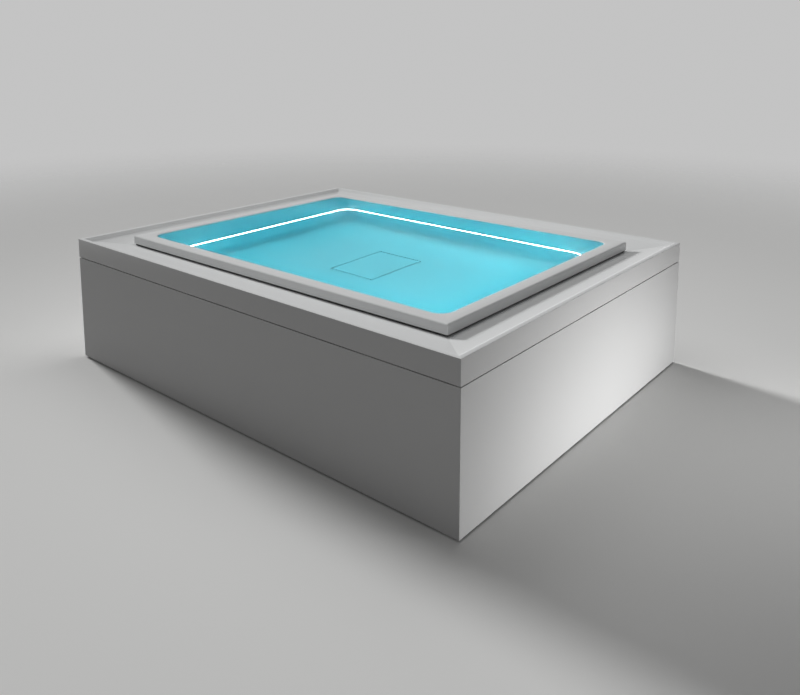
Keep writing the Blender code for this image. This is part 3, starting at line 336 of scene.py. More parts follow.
class MeshDraft:
    """Collects grids of points and turns them into one mesh of closed shells."""

    # The share of a port's length at which its flange starts, and the share of a bolt head's height
    # at which its chamfer starts, which is also the share of its radius that the chamfer leaves.
    FLANGE_SHARE = 0.6
    CHAMFER_SHARE = 0.8

    def __init__(self) -> None:
        """Start with no points."""
        self._points: list[Array] = []
        self._quads: list[Array] = []
        self._caps: list[list[int]] = []
        self._count = 0

    def grid(self, points: Array, wrap: bool = False, cap: bool = False) -> MeshDraft:
        """Add one surface, or several at once, whose columns close into rings.

        Quads join point (i, j) with its neighbours in the next row and the next column.

        Args:
            points: Points of shape (rows, columns, 3) or (surfaces, rows, columns, 3).
            wrap: Whether the last row joins the first.
            cap: Whether the first and last row are closed with a face each.

        Returns:
            This draft.
        """
        rows, columns = points.shape[-3:-1]
        index = np.arange(points.size // 3).reshape(-1, rows, columns) + self._count
        low, high = (index, np.roll(index, -1, axis=1)) if wrap else (index[:, :-1], index[:, 1:])
        quads = np.stack([low, np.roll(low, -1, axis=2), np.roll(high, -1, axis=2), high], axis=-1)
        self._quads.append(quads.reshape(-1, 4))
        if cap:
            self._caps += index[:, [0, -1]].reshape(-1, columns).tolist()
        self._points.append(points.reshape(-1, 3))
        self._count += points.size // 3
        return self

    def copies(self, points: Array, places: Array, cap: bool = True) -> MeshDraft:
        """Add the same ringed surface at several places.

        Args:
            points: Points of shape (rows, columns, 3) round the origin.
            places: One place per row.
            cap: Whether the ends of each copy are closed.

        Returns:
            This draft.
        """
        return self.grid(points[None] + places[:, None, None, :], cap=cap)

    def turned(
        self,
        profile: list,
        origin: tuple = ORIGIN,
        axis: Axis = Axis.Z,
        soft: float = 0.0015,
        sides: int = 48,
        loop: bool = False,
    ) -> MeshDraft:
        """Add a solid of revolution with softened edges.

        Args:
            profile: Radius and height of the section's corners, from the axis back to the axis.
            origin: A point on the axis, from which the heights count.
            axis: The turning axis.
            soft: Setback of the softened edges.
            sides: Points round the axis.
            loop: Whether the section is a closed one off the axis, which makes a hollow ring.

        Returns:
            This draft.
        """
        return self.grid(lathe(soften(profile, soft, steps=3, closed=loop), origin, axis, sides), wrap=loop)

    def slab(
        self,
        half: tuple,
        low: float,
        high: float,
        origin: tuple = ORIGIN,
        axis: Axis = Axis.Z,
        corner: float = 0.004,
        soft: float = 0.0015,
    ) -> MeshDraft:
        """Add a block with round long edges and softened ends.

        At angle a of a quarter turn the end ring stands in by soft * (1 - sin a) and up by
        soft * (1 - cos a).

        Args:
            half: Half sizes in the two directions across the axis.
            low: Start along the axis.
            high: End along the axis.
            origin: A point on the axis, from which low and high count.
            axis: The direction that the long edges run in.
            corner: Radius of the long edges.
            soft: Radius of the end edges.

        Returns:
            This draft.
        """
        angle = quarter_arc(4)
        inset, rise = soft * (1.0 - np.sin(angle)), soft * (1.0 - np.cos(angle))
        height = np.concatenate([low + rise, high - rise[::-1]])
        inset = np.concatenate([inset, inset[::-1]])
        radius = np.maximum(corner - inset, SEAT)
        sizes = (half[0] - inset, half[1] - inset, radius, height)
        return self.grid(rounded_rings(*sizes, steps=5, origin=origin, axis=axis), cap=True)

    def stub(
        self, origin: tuple, reach: float, radius: float, axis: Axis = Axis.Z, flange: float = 0.004
    ) -> MeshDraft:
        """Add a round port with a flange on its free end.

        Args:
            origin: Where the port starts.
            reach: Its length along the axis; a negative one points the other way.
            radius: Its radius.
            axis: The direction that it runs in.
            flange: How far the flange stands out.

        Returns:
            This draft.
        """
        start, wide = self.FLANGE_SHARE * reach, radius + flange
        outer = [(radius, start), (wide, start), (wide, reach)] if flange > 0.0 else [(radius, reach)]
        profile = [(0.0, 0.0), (radius, 0.0), *outer, (0.0, reach)]
        return self.turned(profile, origin, axis, soft=0.001, sides=40)

    def bolts(
        self, places: Array, axis: Axis = Axis.Z, radius: float = 0.006, rise: float = 0.005
    ) -> MeshDraft:
        """Add hexagon heads with a chamfered top.

        Args:
            places: Foot of each head.
            axis: The direction that the heads stand in; a negative rise turns them round.
            radius: Radius over the hexagon's corners.
            rise: Height of the heads.

        Returns:
            This draft.
        """
        side, top = self.CHAMFER_SHARE * rise, self.CHAMFER_SHARE * radius
        profile = [(0.0, 0.0), (radius, 0.0), (radius, side), (top, rise), (0.0, rise)]
        return self.copies(lathe(profile, axis=axis, sides=6), places, cap=False)

    def build(self, name: str, coat: bpy.types.Material) -> bpy.types.Object:
        """Make the mesh and its object.

        Args:
            name: Name of the object.
            coat: Material of the whole mesh.

        Returns:
            The new object, at the origin.
        """
        mesh = bpy.data.meshes.new(name)
        faces = np.concatenate(self._quads).tolist() + self._caps
        mesh.from_pydata(np.concatenate(self._points).tolist(), [], faces)
        shape = bmesh.new()
        shape.from_mesh(mesh)
        bmesh.ops.remove_doubles(shape, verts=shape.verts, dist=WELD)
        bmesh.ops.recalc_face_normals(shape, faces=shape.faces)
        shape.to_mesh(mesh)
        shape.free()
        mesh.shade_smooth()
        mesh.set_sharp_from_angle(angle=math.radians(SHARP_EDGE))
        mesh.materials.append(coat)
        made = bpy.data.objects.new(name, mesh)
        bpy.context.collection.objects.link(made)
        return made


class NodeTools:
    """Short ways to add and join shader nodes in one tree."""

    # Places of a Mix node's colour sockets.
    MIX_FIRST = 6
    MIX_SECOND = 7
    MIX_RESULT = 2

    def __init__(self, tree: bpy.types.NodeTree) -> None:
        """Keep the tree to work on."""
        self.tree = tree

    def feed(self, target: bpy.types.NodeSocket, value: object) -> None:
        """Link a socket into an input, or give the input a plain value.

        Args:
            target: The input.
            value: A node's output, or a plain value.
        """
        if isinstance(value, bpy.types.NodeSocket):
            self.tree.links.new(value, target)
        else:
            target.default_value = value

    def fill(self, node: bpy.types.Node, **settings: object) -> None:
        """Set a node's properties and feed its inputs, by name.

        Args:
            node: The node.
            settings: Values by name; an input's name has its spaces written as underscores.
        """
        for name, value in settings.items():
            if hasattr(node, name):
                setattr(node, name, value)
            else:
                self.feed(node.inputs[name.replace("_", " ")], value)

    def add(self, kind: str, *feeds: object, **settings: object) -> bpy.types.Node:
        """Add a node, set it and feed its inputs.

        Args:
            kind: The node's type name.
            feeds: What goes into its first inputs, in order.
            settings: Properties and further inputs by name, as fill takes them.

        Returns:
            The new node.
        """
        node = self.tree.nodes.new(kind)
        self.fill(node, **settings)
        for target, value in zip(node.inputs, feeds):
            self.feed(target, value)
        return node

    def math(
        self, operation: str, first: object, second: object, clamp: bool = False
    ) -> bpy.types.NodeSocket:
        """The outcome of a maths operation on two values."""
        node = self.add("ShaderNodeMath", first, second, operation=operation, use_clamp=clamp)
        return node.outputs[0]

    def mix(self, share: object, first: object, second: object) -> bpy.types.NodeSocket:
        """Mix two colours.

        Args:
            share: How much of the second colour shows.
            first: The first colour.
            second: The second colour.

        Returns:
            The mixed colour.
        """
        node = self.add("ShaderNodeMix", share, data_type="RGBA")
        self.feed(node.inputs[self.MIX_FIRST], first)
        self.feed(node.inputs[self.MIX_SECOND], second)
        return node.outputs[self.MIX_RESULT]


def new_material(name: str) -> tuple:
    """Start a material.

    Args:
        name: Its name.

    Returns:
        The material, the tools of its tree and its Principled shader.
    """
    made = bpy.data.materials.new(name)
    made.use_nodes = True
    return made, NodeTools(made.node_tree), made.node_tree.nodes["Principled BSDF"]


class EffectGroups:
    """Shader groups that several finishes share."""

    def __init__(self) -> None:
        """Build each group once."""
        self.grain = self._grain()
        self.film = self._film()

    @staticmethod
    def _start(name: str, inputs: dict[str, float], outputs: tuple) -> tuple:
        """Make an empty group with plain number sockets.

        Args:
            name: The group's name.
            inputs: Input names with their defaults.
            outputs: Output names.

        Returns:
            The group's tools, its input node and its output node.
        """
        tree = bpy.data.node_groups.new(name, "ShaderNodeTree")
        for word, value in inputs.items():
            socket = tree.interface.new_socket(word, in_out="INPUT", socket_type="NodeSocketFloat")
            socket.default_value = value
        for word in outputs:
            tree.interface.new_socket(word, in_out="OUTPUT", socket_type="NodeSocketFloat")
        tools = NodeTools(tree)
        return tools, tools.add("NodeGroupInput"), tools.add("NodeGroupOutput")

    def _grain(self) -> bpy.types.NodeTree:
        """Fine grain over broad clouding: the tone is 1 plus each noise's swing round its middle.

        Returns:
            The group, with outputs Tone, Cloud and Height.
        """
        inputs = {"Fine Scale": 400.0, "Cloud Scale": 3.0, "Fine Amount": 0.05, "Cloud Amount": 0.05}
        tools, start, end = self._start("grain_and_cloud", inputs, ("Tone", "Cloud", "Height"))
        given = start.outputs
        place = tools.add("ShaderNodeTexCoord").outputs["Object"]
        tone, noise = 1.0, {}
        for word, detail, roughness in (("Fine", 3.0, 0.6), ("Cloud", 4.0, 0.55)):
            node = tools.add("ShaderNodeTexNoise", Vector=place, Detail=detail, Roughness=roughness)
            tools.fill(node, Scale=given[f"{word} Scale"])
            noise[word] = node.outputs["Fac"]
            swing = tools.math("SUBTRACT", noise[word], 0.5)
            tone = tools.math("ADD", tools.math("MULTIPLY", swing, given[f"{word} Amount"]), tone)
        tools.fill(end, Tone=tone, Cloud=noise["Cloud"], Height=noise["Fine"])
        return tools.tree

    def _film(self) -> bpy.types.NodeTree:
        """Dust that settles on faces that look up, broken by noise.

        Returns:
            The group, with the output Mask.
        """
        tools, start, end = self._start("settled_dust", {"Scale": 12.0, "Amount": 0.3}, ("Mask",))
        place = tools.add("ShaderNodeTexCoord").outputs["Object"]
        patch = tools.add("ShaderNodeTexNoise", Vector=place, Detail=5.0, Roughness=0.65)
        tools.fill(patch, Scale=start.outputs["Scale"])
        normal = tools.add("ShaderNodeNewGeometry").outputs["Normal"]
        up = tools.add("ShaderNodeSeparateXYZ", normal).outputs["Z"]
        mask = tools.math("MULTIPLY", up, patch.outputs["Fac"], clamp=True)
        tools.fill(end, Mask=tools.math("MULTIPLY", mask, start.outputs["Amount"], clamp=True))
        return tools.tree


@dataclass(frozen=True)
class Finish:
    """A solid finish: a colour with grain and clouding, a roughness and a fine relief."""

    colour: tuple
    roughness: float
    metallic: float = 0.0
    fine_scale: float = 400.0
    fine_amount: float = 0.03
    cloud_scale: float = 3.0
    cloud_amount: float = 0.05
    rough_swing: float = 0.08
    relief: float = 0.05
    relief_depth: float = 0.0004
    dust: float = 0.0

    def make(self, name: str, groups: EffectGroups) -> bpy.types.Material:
        """Build the material.

        Args:
            name: Name of the material.
            groups: The shared effects.

        Returns:
            The new material.
        """
        made, tools, shader = new_material(name)
        grain = tools.add("ShaderNodeGroup", node_tree=groups.grain)
        tools.fill(grain, Fine_Scale=self.fine_scale, Fine_Amount=self.fine_amount)
        tools.fill(grain, Cloud_Scale=self.cloud_scale, Cloud_Amount=self.cloud_amount)
        tone = tools.add("ShaderNodeVectorMath", self.colour, operation="SCALE", Scale=grain.outputs["Tone"])
        colour = tone.outputs["Vector"]
        if self.dust > 0.0:
            film = tools.add("ShaderNodeGroup", node_tree=groups.film, Amount=self.dust)
            colour = tools.mix(film.outputs["Mask"], colour, (*DUST_COLOUR, 1.0))
        rough = tools.add("ShaderNodeMapRange", grain.outputs["Cloud"])
        tools.fill(rough, To_Min=self.roughness - self.rough_swing, To_Max=self.roughness + self.rough_swing)
        bump = tools.add("ShaderNodeBump", Strength=self.relief, Distance=self.relief_depth)
        tools.fill(bump, Height=grain.outputs["Height"])
        tools.fill(shader, Metallic=self.metallic, Base_Color=colour)
        tools.fill(shader, Roughness=rough.outputs["Result"], Normal=bump.outputs["Normal"])
        return made


@dataclass(frozen=True)
class WaterFinish:
    """Clear water that takes the red out of what lies under it."""

    surface: tuple = (0.80, 0.97, 1.0)
    tint: tuple = (0.0, 0.833, 0.917)
    density: float = 1.2
    refraction: float = 1.333

    def make(self, name: str) -> bpy.types.Material:
        """Build the material.

        Args:
            name: Name of the material.

        Returns:
            The new material.
        """
        made, tools, shader = new_material(name)
        tools.fill(shader, Base_Color=(*self.surface, 1.0), Roughness=0.0)
        tools.fill(shader, IOR=self.refraction, Transmission_Weight=1.0)
        volume = tools.add("ShaderNodeVolumeAbsorption", Color=(*self.tint, 1.0), Density=self.density)
        tools.fill(made.node_tree.nodes["Material Output"], Volume=volume.outputs["Volume"])
        return made


@dataclass(frozen=True)
class LampFinish:
    """The glow of the light strip's diffuser, warm because the water over it takes out red."""

    diffuser: Finish = Finish((0.90, 0.93, 0.93), 0.35, relief=0.02)
    colour: tuple = (1.0, 0.80, 0.78)
    strength: float = 22.0

    def make(self, name: str, groups: EffectGroups) -> bpy.types.Material:
        """Build the material.

        Args:
            name: Name of the material.
            groups: The shared effects.

        Returns:
            The new material.
        """
        made = self.diffuser.make(name, groups)
        shader = made.node_tree.nodes["Principled BSDF"]
        glow = (*self.colour, 1.0)
        NodeTools(made.node_tree).fill(shader, Emission_Color=glow, Emission_Strength=self.strength)
        return made


class FinishBook:
    """Every material of the pool, by slot."""

    SOLID = {
        Slot.LAMINATE: Finish(
            (0.73, 0.73, 0.725), 0.46, fine_scale=900.0, cloud_scale=1.6, cloud_amount=0.04),
        Slot.ACRYLIC: Finish(
            (0.80, 0.81, 0.81), 0.34, fine_scale=160.0, fine_amount=0.01, cloud_amount=0.02,
            rough_swing=0.04, relief=0.02),
        Slot.STEEL: Finish(
            (0.52, 0.53, 0.54), 0.42, metallic=0.9, fine_scale=90.0, fine_amount=0.35, cloud_scale=9.0,
            cloud_amount=0.15, rough_swing=0.12, relief=0.06, dust=0.35),
        Slot.PIPE: Finish((0.58, 0.60, 0.61), 0.38, fine_scale=260.0, cloud_scale=6.0, dust=0.25),
        Slot.CASING: Finish(
            (0.17, 0.18, 0.19), 0.48, fine_scale=520.0, fine_amount=0.16, relief=0.22, dust=0.3),
        Slot.BLACK: Finish(
            (0.030, 0.030, 0.034), 0.45, fine_scale=620.0, fine_amount=0.2, relief=0.2, dust=0.12),
        Slot.PAPER: Finish((0.80, 0.80, 0.76), 0.9, fine_scale=700.0, fine_amount=0.12, relief=0.4),
        Slot.CAST: Finish(
            (0.52, 0.53, 0.54), 0.46, metallic=0.85, fine_scale=380.0, fine_amount=0.22, relief=0.35,
            dust=0.3),
    }

    def __init__(self) -> None:
        """Build all the materials."""
        groups = EffectGroups()
        self._made = {slot: finish.make(slot.value, groups) for slot, finish in self.SOLID.items()}
        self._made[Slot.WATER] = WaterFinish().make(Slot.WATER.value)
        self._made[Slot.LIGHT] = LampFinish().make(Slot.LIGHT.value, groups)

    def __getitem__(self, slot: Slot) -> bpy.types.Material:
        """The material for a slot."""
        return self._made[slot]

    def dress_solids(self, frame: dict) -> None:
        """Give every carried-over solid the material of its slot.
        """
        for row in frame["record"]["subparts"]:
            mesh = frame["nodes"][row["node"]].data
            mesh.materials.clear()
            mesh.materials.append(self[Slot(row["material_slot"])])


@dataclass(frozen=True)
class SoftLamp:
    """A rectangular lamp that looks at a target and stays out of the camera's sight."""

    name: str
    place: tuple
    target: tuple
    power: float
    width: float
    height: float
    colour: tuple = (1.0, 1.0, 1.0)
    spread: float = math.pi

    def hang(self) -> None:
        """Make the lamp."""
        lamp = bpy.data.lights.new(self.name, "AREA")
        lamp.shape = "RECTANGLE"
        lamp.size = self.width
        lamp.size_y = self.height
        lamp.energy = self.power
        lamp.color = self.colour
        lamp.spread = self.spread
        made = bpy.data.objects.new(self.name, lamp)
        made.location = self.place
        made.rotation_mode = "QUATERNION"
        made.rotation_quaternion = (Vector(self.target) - Vector(self.place)).to_track_quat("-Z", "Y")
        made.visible_camera = False
        made.visible_glossy = False
        made.visible_transmission = False
        bpy.context.collection.objects.link(made)


@dataclass
class Assembly(ABC):
    """A sub-assembly of the pool, dressed from the book of finishes."""

    book: FinishBook

    @abstractmethod
    def build(self) -> None:
        """Make every piece of the sub-assembly."""

    def settle(
        self, draft: MeshDraft, name: str, slot: Slot, *stands_for: str, body: str = ROOT_BODY
    ) -> bpy.types.Object:
        """Make a piece, and tie it to its body, its finish and the solids it stands for.

        Args:
            draft: The piece's surfaces.
            name: Name of the piece.
            slot: The record's finish for it.
            stands_for: Solids that it replaces.
            body: The body that it moves with.

        Returns:
            The piece.
        """
        piece = draft.build(name, self.book[slot])
        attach(piece, body)
        if stands_for:
            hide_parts(*stands_for)
        LOG.info("made %s on %s", name, body)
        return piece


@dataclass
class CladdingPanels(Assembly):
    """Four flat panels with mitred ends and recessed fields in their backs."""

    thickness: float = 0.018
    border: float = 0.095
    recess: float = 0.006
    fields: int = 3
    edge: float = 0.0008

    def build(self) -> None:
        """Make the four panels."""
        for side in Side:
            node = f"{side.word}_panel"
            draft = MeshDraft().grid(self._rings(node, side), cap=True)
            piece = self.settle(draft, f"cladding_{side.word}", Slot.LAMINATE, node, body=node)
            soft = piece.modifiers.new("soft_edges", "BEVEL")
            soft.width = self.edge
            soft.segments = 2
            soft.limit_method = "ANGLE"

    def _rings(self, node: str, side: Side) -> Array:
        """Rings across one panel, from its left end to its right.

        Every ring runs down the face and up the back. The back lies the thickness behind the face, less
        the recess inside a field's border; at the ends x shrinks with depth, which makes the mitre.

        Args:
            node: The panel's solid.
            side: Where the panel stands.

        Returns:
            Points of shape (stations, ring points, 3).
        """
        low, high = (corner.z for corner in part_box(node))
        half, _, out = side.reach(node)
        inner = half - self.thickness
        pitch = 2 * inner / self.fields
        cuts = np.array([0.0, self.border, self.border, pitch - self.border, pitch - self.border])
        stations = (-inner + pitch * np.arange(self.fields)[:, None] + cuts).ravel()
        stations = np.concatenate([stations, [inner]])
        inside = np.concatenate([np.tile([0, 0, 1, 1, 0], self.fields), [0]])
        foot, head = low + self.border, high - self.border
        z = np.array([high, low, low, foot, foot, head, head, high])
        behind = np.array([0, 0, 1, 1, 1, 1, 1, 1])
        hollow = np.array([0, 0, 0, 0, 1, 1, 0, 0])
        depth = self.thickness * behind - self.recess * hollow * inside[:, None]
        end = np.zeros((len(stations), 1))
        end[0], end[-1] = -1.0, 1.0
        x = stations[:, None] + end * (self.thickness - depth)
        points = np.stack(np.broadcast_arrays(x, depth - out, z), axis=-1)
        return quarter_turns(points, side.value)


@dataclass
class Surround(Assembly):
    """The ring round the basin: a top band, and inside it the overflow tray with its lip and its gutter."""

    lip: float = 0.020
    chamfer: float = 0.018
    chamfer_drop: float = 0.012
    width: float = 0.188
    rim_gap: float = 0.008
    gutter_start: float = 0.201
    gutter_end: float = 0.244
    gutter_depth: float = 0.044
    gutter_wall: float = 0.008
    wall: float = 0.010
    band: float = 0.018
    seat_depth: float = 0.030
    seat_width: float = 0.0603
    corner: float = 0.0010
    mitre_edge: float = 0.0004
    board_edge: float = 0.0008
    drip_edge: float = 0.0020
    lip_edge: float = 0.0030
    chamfer_edge: float = 0.0050
    bend: float = 0.0060

    def build(self) -> None:
        """Make the band and the tray."""
        self._ring(self._band_outline(), "top_band", Slot.LAMINATE)
        self._ring(self._tray_outline(), "overflow_surround", Slot.ACRYLIC)

    def _ring(self, outline: list, name: str, slot: Slot) -> None:
        """Carry a section round the pool, its corners softened and its ring corners mitred.

        Args:
            outline: Inset from the outer face, height and setback of each of the section's corners.
            name: Name of the piece.
            slot: Its finish.
        """
        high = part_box("overflow_tray")[1]
        corners = np.array(outline)
        inset, height = soften(corners[:, :2], corners[:, 2], closed=True).T
        rings = rounded_rings(high.x - inset, high.y - inset, self.corner, height, steps=3)
        self.settle(MeshDraft().grid(rings, wrap=True), name, slot, "overflow_tray")

    def _band_outline(self) -> list:
        """Section of the band: a board whose top edge is mitred under the lip.

        Returns:
            Inset, height and setback of each corner.
        """
        low, high = (corner.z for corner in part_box("overflow_tray"))
        return [
            (0.0, low, self.board_edge),
            (0.0, high - SEAT, self.mitre_edge),
            (self.band, high - self.band - SEAT, 0.0),
            (self.band, low, self.board_edge),
        ]

    def _tray_outline(self) -> list:
        """Section of the tray: lip, chamfer, the floor that falls inwards and the gutter under the rim.

        Returns:
            Inset, height and setback of each corner.
        """
        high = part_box("overflow_tray")[1].z
        rim_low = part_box("overflow_grille_front")[1].z + SEAT
        floor = rim_low - self.rim_gap
        gutter = floor - self.gutter_depth
        inner = self.gutter_end - self.gutter_wall
        outer = self.gutter_start - self.wall
        return [
            (SEAT, high, self.mitre_edge),
            (self.lip, high, self.lip_edge),
            (self.lip + self.chamfer, high - self.chamfer_drop, self.chamfer_edge),
            (self.width, floor, 0.0),
            (self.gutter_start, floor, self.drip_edge),
            (self.gutter_start, gutter, self.bend),
            (inner, gutter, self.bend),
            (inner, rim_low - SEAT, 0.0),
            (self.gutter_end, rim_low - SEAT, 0.0),
            (self.gutter_end, gutter - self.wall, self.bend),
            (outer, gutter - self.wall, self.bend),
            (outer, floor - self.wall, self.bend),
            (self.seat_width, high - self.seat_depth, 0.0),
            (self.band + SEAT, high - self.seat_depth, 0.0),
            (self.band + SEAT, high - self.band, 0.0),
        ]


@dataclass
class OverflowGrilles(Assembly):
    """Fine combs that stand in the dark gap under the rim."""

    pitch: float = 0.010
    tooth: float = 0.0045
    bar: float = 0.003
    edge: float = 0.0008

    def build(self) -> None:
        """Make one comb for each side: teeth at an even pitch under one bar."""
        for side in Side:
            node = f"overflow_grille_{side.word}"
            low, high = (corner.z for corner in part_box(node))
            reach, near, far = side.reach(node)
            middle, depth = -(near + far) / 2, (far - near) / 2
            joint, tooth_half = high - self.bar, self.tooth / 2
            bar = rounded_rings(reach, depth, self.edge, [joint, high], steps=2, origin=(0.0, middle, 0.0))
            tooth = rounded_rings(tooth_half, depth, self.edge, [low, joint], steps=1)
            count = round(2 * reach / self.pitch) + 1
            stations = np.linspace(tooth_half - reach, reach - tooth_half, count)
            places = np.stack(np.broadcast_arrays(stations, middle, 0.0), axis=-1)
            draft = MeshDraft().grid(quarter_turns(bar, side.value), cap=True)
            draft.copies(quarter_turns(tooth, side.value), quarter_turns(places, side.value))
            self.settle(draft, f"gap_comb_{side.word}", Slot.BLACK, node)


@dataclass
class Basin(Assembly):
    """The bathing basin: rim, sloping walls, light groove, floor and its opening, with water and light."""

    rim_width: float = 0.069
    rim_height: float = 0.038
    rim_corner: float = 0.004
    least_corner: float = 0.0005
    rim_edge: float = 0.008
    water_edge: float = 0.008
    wall: float = 0.010
    end_slope: float = math.radians(19.0)
    side_slope: float = math.radians(4.0)
    floor_fillet: float = 0.085
    fillet_angles: tuple = (math.radians(8.0), math.radians(84.0))
    fillet_rings: int = 11
    mouth_corner: float = 0.050
    floor_corner: float = 0.100
    groove: float = 0.006
    strip_height: float = 0.010
    strip_recess: float = 0.0005
    opening_gap: float = 0.008
    opening_corner: float = 0.008
    water_drop: float = 0.003
    water_overlap: float = 0.002
    sump_wall: float = 0.006
    sump_ledge: float = 0.014
    sump_corner: float = 0.010
    glow_gap: float = 0.020
    glow_share: float = 0.78
    glow_power: float = 2.1
    glow_lift: float = 0.35
    glow_colour: tuple = (0.04, 0.88, 1.0)
    window_power: float = 2.4
    window_share: float = 0.72
    window_shift: tuple = (0.03, 0.10)
    window_spread: float = math.radians(85.0)
    window_colour: tuple = (1.0, 0.60, 0.56)
    rim_x: float = field(init=False)
    rim_y: float = field(init=False)
    top: float = field(init=False)
    floor: float = field(init=False)
    light: float = field(init=False)

    def __post_init__(self) -> None:
        """Read the basin's place from the frame."""
        low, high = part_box("basin_shell")
        self.rim_x, self.rim_y, self.top = high
        self.floor = low.z + self.wall
        self.light = span("light_strip")[1][2]

    def build(self) -> None:
        """Make the basin, the light strip in its groove, the water in it and the light in the water."""
        self._shell()
        self._strip()
        self._water()
        self._glow()
        self._daylight()

    @property
    def mouth(self) -> tuple:
        """Half the water's edge along X and Y."""
        return self.rim_x - self.rim_width, self.rim_y - self.rim_width

    @property
    def flat(self) -> tuple:
        """Half the flat part of the floor along X and Y."""
        return self._flat(self.mouth[0], self.end_slope), self._flat(self.mouth[1], self.side_slope)

    @property
    def opening(self) -> tuple:
        """Half the floor's opening along X and Y."""
        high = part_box("floor_cover")[1]
        return high.x + self.opening_gap, high.y + self.opening_gap

    def _flat(self, mouth: float, slope: float) -> float:
        """Half the flat part of the floor, where the fillet to a wall starts."""
        foot = mouth - (self.top - self.floor) * math.tan(slope)
        return foot - self.floor_fillet * math.tan(math.pi / 4 - slope / 2)

    def _wall_half(self, mouth: float, slope: float, height: Array, offset: float) -> Array:
        """Half the basin's inside at a height.

        Under the fillet's end it is flat + sqrt(r^2 - (c - z)^2), with r the fillet's radius, c the
        height of its centre and z the height; above it the wall runs straight at its slope.

        Args:
            mouth: Half the mouth on this axis.
            slope: The wall's lean from upright.
            height: Heights to work out.
            offset: Distance outwards from the inner face.

        Returns:
            Half sizes, one per height.
        """
        radius = self.floor_fillet + offset
        centre = self.floor + self.floor_fillet
        end = centre - radius * math.sin(slope)
        flat = self._flat(mouth, slope)
        curved = flat + np.sqrt(np.clip(radius ** 2 - (centre - height) ** 2, 0.0, None))
        straight = flat + radius * math.cos(slope) + (height - end) * math.tan(slope)
        return np.where(height < end, curved, straight)

    def _wall_rings(self, height: Array, offset: float = 0.0, step_out: float = 0.0) -> Array:
        """Rings of the wall at several heights.

        The corner radius goes evenly from the floor's to the mouth's.

        Args:
            height: Heights of the rings.
            offset: Distance outwards from the inner face.
            step_out: A further step outwards, as in the light groove.

        Returns:
            Rings of points.
        """
        height = np.asarray(height, float)
        share = (height - self.floor) / (self.top - self.floor)
        corner = self.floor_corner + share * (self.mouth_corner - self.floor_corner)
        half_x = self._wall_half(self.mouth[0], self.end_slope, height, offset) + step_out
        half_y = self._wall_half(self.mouth[1], self.side_slope, height, offset) + step_out
        return rounded_rings(half_x, half_y, corner + offset + step_out, height)

    def _mouth_ring(self, out: Array, height: Array) -> Array:
        """Rings round the mouth, moved outwards."""
        return rounded_rings(self.mouth[0] + out, self.mouth[1] + out, self.mouth_corner + out, height)

    def _fillet_heights(self, offset: float = 0.0) -> Array:
        """Heights along the fillet between floor and wall, from low to high."""
        angle = np.linspace(*self.fillet_angles, self.fillet_rings)
        return self.floor + self.floor_fillet - (self.floor_fillet + offset) * np.cos(angle)

    def _rim_rings(self) -> Array:
        """Rings over the rim from the water's edge to its underside.

        At angle a of a quarter turn a rounded edge stands in by its radius times (1 - sin a), and down
        by its radius times (1 - cos a).

        Returns:
            Rings of points.
        """
        angle = quarter_arc(7)
        inset, drop = 1.0 - np.sin(angle), 1.0 - np.cos(angle)
        near = self._mouth_ring(self.water_edge * inset[::-1], self.top - self.water_edge * drop[::-1])
        outer = self.rim_edge * inset
        corner = np.maximum(self.rim_corner - outer, self.least_corner)
        far = rounded_rings(self.rim_x - outer, self.rim_y - outer, corner, self.top - self.rim_edge * drop)
        under = rounded_rings(self.rim_x, self.rim_y, self.rim_corner, self.top - self.rim_height)
        return np.concatenate([near, far, under])

    def _shell(self) -> None:
        """The basin's own skin, inside and out, as one closed loft."""
        low, high = self.light - self.strip_height / 2, self.light + self.strip_height / 2
        underside = self.floor - self.wall
        rings = np.concatenate([
            rounded_rings(*self.opening, self.opening_corner, self.floor),
            rounded_rings(*self.flat, self.floor_corner, self.floor),
            self._wall_rings(self._fillet_heights()),
            self._wall_rings([low]),
            self._wall_rings([low, high], step_out=self.groove),
            self._wall_rings([high]),
            self._rim_rings(),
            self._wall_rings([self.top - self.rim_height], self.wall),
            self._wall_rings(self._fillet_heights(self.wall)[::-1], self.wall),
            rounded_rings(*self.flat, self.floor_corner, underside),
            rounded_rings(*self.opening, self.opening_corner, underside),
        ])
        self.settle(MeshDraft().grid(rings, wrap=True), "bathing_basin", Slot.ACRYLIC, "basin_shell")

    def _strip(self) -> None:
        """The light strip, a loop of rectangular section that fills the groove but for a small recess."""
        half = self.strip_height / 2 - SEAT
        low, high = self.light - half, self.light + half
        back = self.groove - SEAT
        section = ((low, back), (low, self.strip_recess), (high, self.strip_recess), (high, back))
        rings = np.concatenate([self._wall_rings([height], step_out=out) for height, out in section])
        self.settle(MeshDraft().grid(rings, wrap=True), "light_line", Slot.LIGHT, "light_strip")

    def _water(self) -> None:
        """The water: it reaches a little into the walls, the floor and the sump, so no gap shows."""
        lap, edge = self.water_overlap, self.water_edge
        sump_low, sump_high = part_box("suction_sump")
        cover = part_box("floor_cover")[1]
        sump = (cover.x - self.sump_ledge + lap, cover.y - self.sump_ledge + lap)
        opening = (half + lap for half in self.opening)
        sump_floor, sump_top = sump_low.z + self.sump_wall - lap, sump_high.z - lap
        rings = np.concatenate([
            rounded_rings(*sump, self.sump_corner, [sump_floor, sump_top]),
            rounded_rings(*opening, self.opening_corner, [sump_top, self.floor - lap]),
            rounded_rings(*self.flat, self.floor_corner, self.floor - lap),
            self._wall_rings(self._fillet_heights(lap), lap),
            self._mouth_ring(lap, self.top - edge),
            self._mouth_ring(edge, self.top - self.water_drop),
        ])
        self.settle(MeshDraft().grid(rings, cap=True), "pool_water", Slot.WATER)

    @property
    def _lamp_reach(self) -> Array:
        """Half the room for lamps at the light line's height, along X and Y."""
        return self._wall_rings([self.light], step_out=-self.glow_gap)[0, :, :2].max(axis=0)

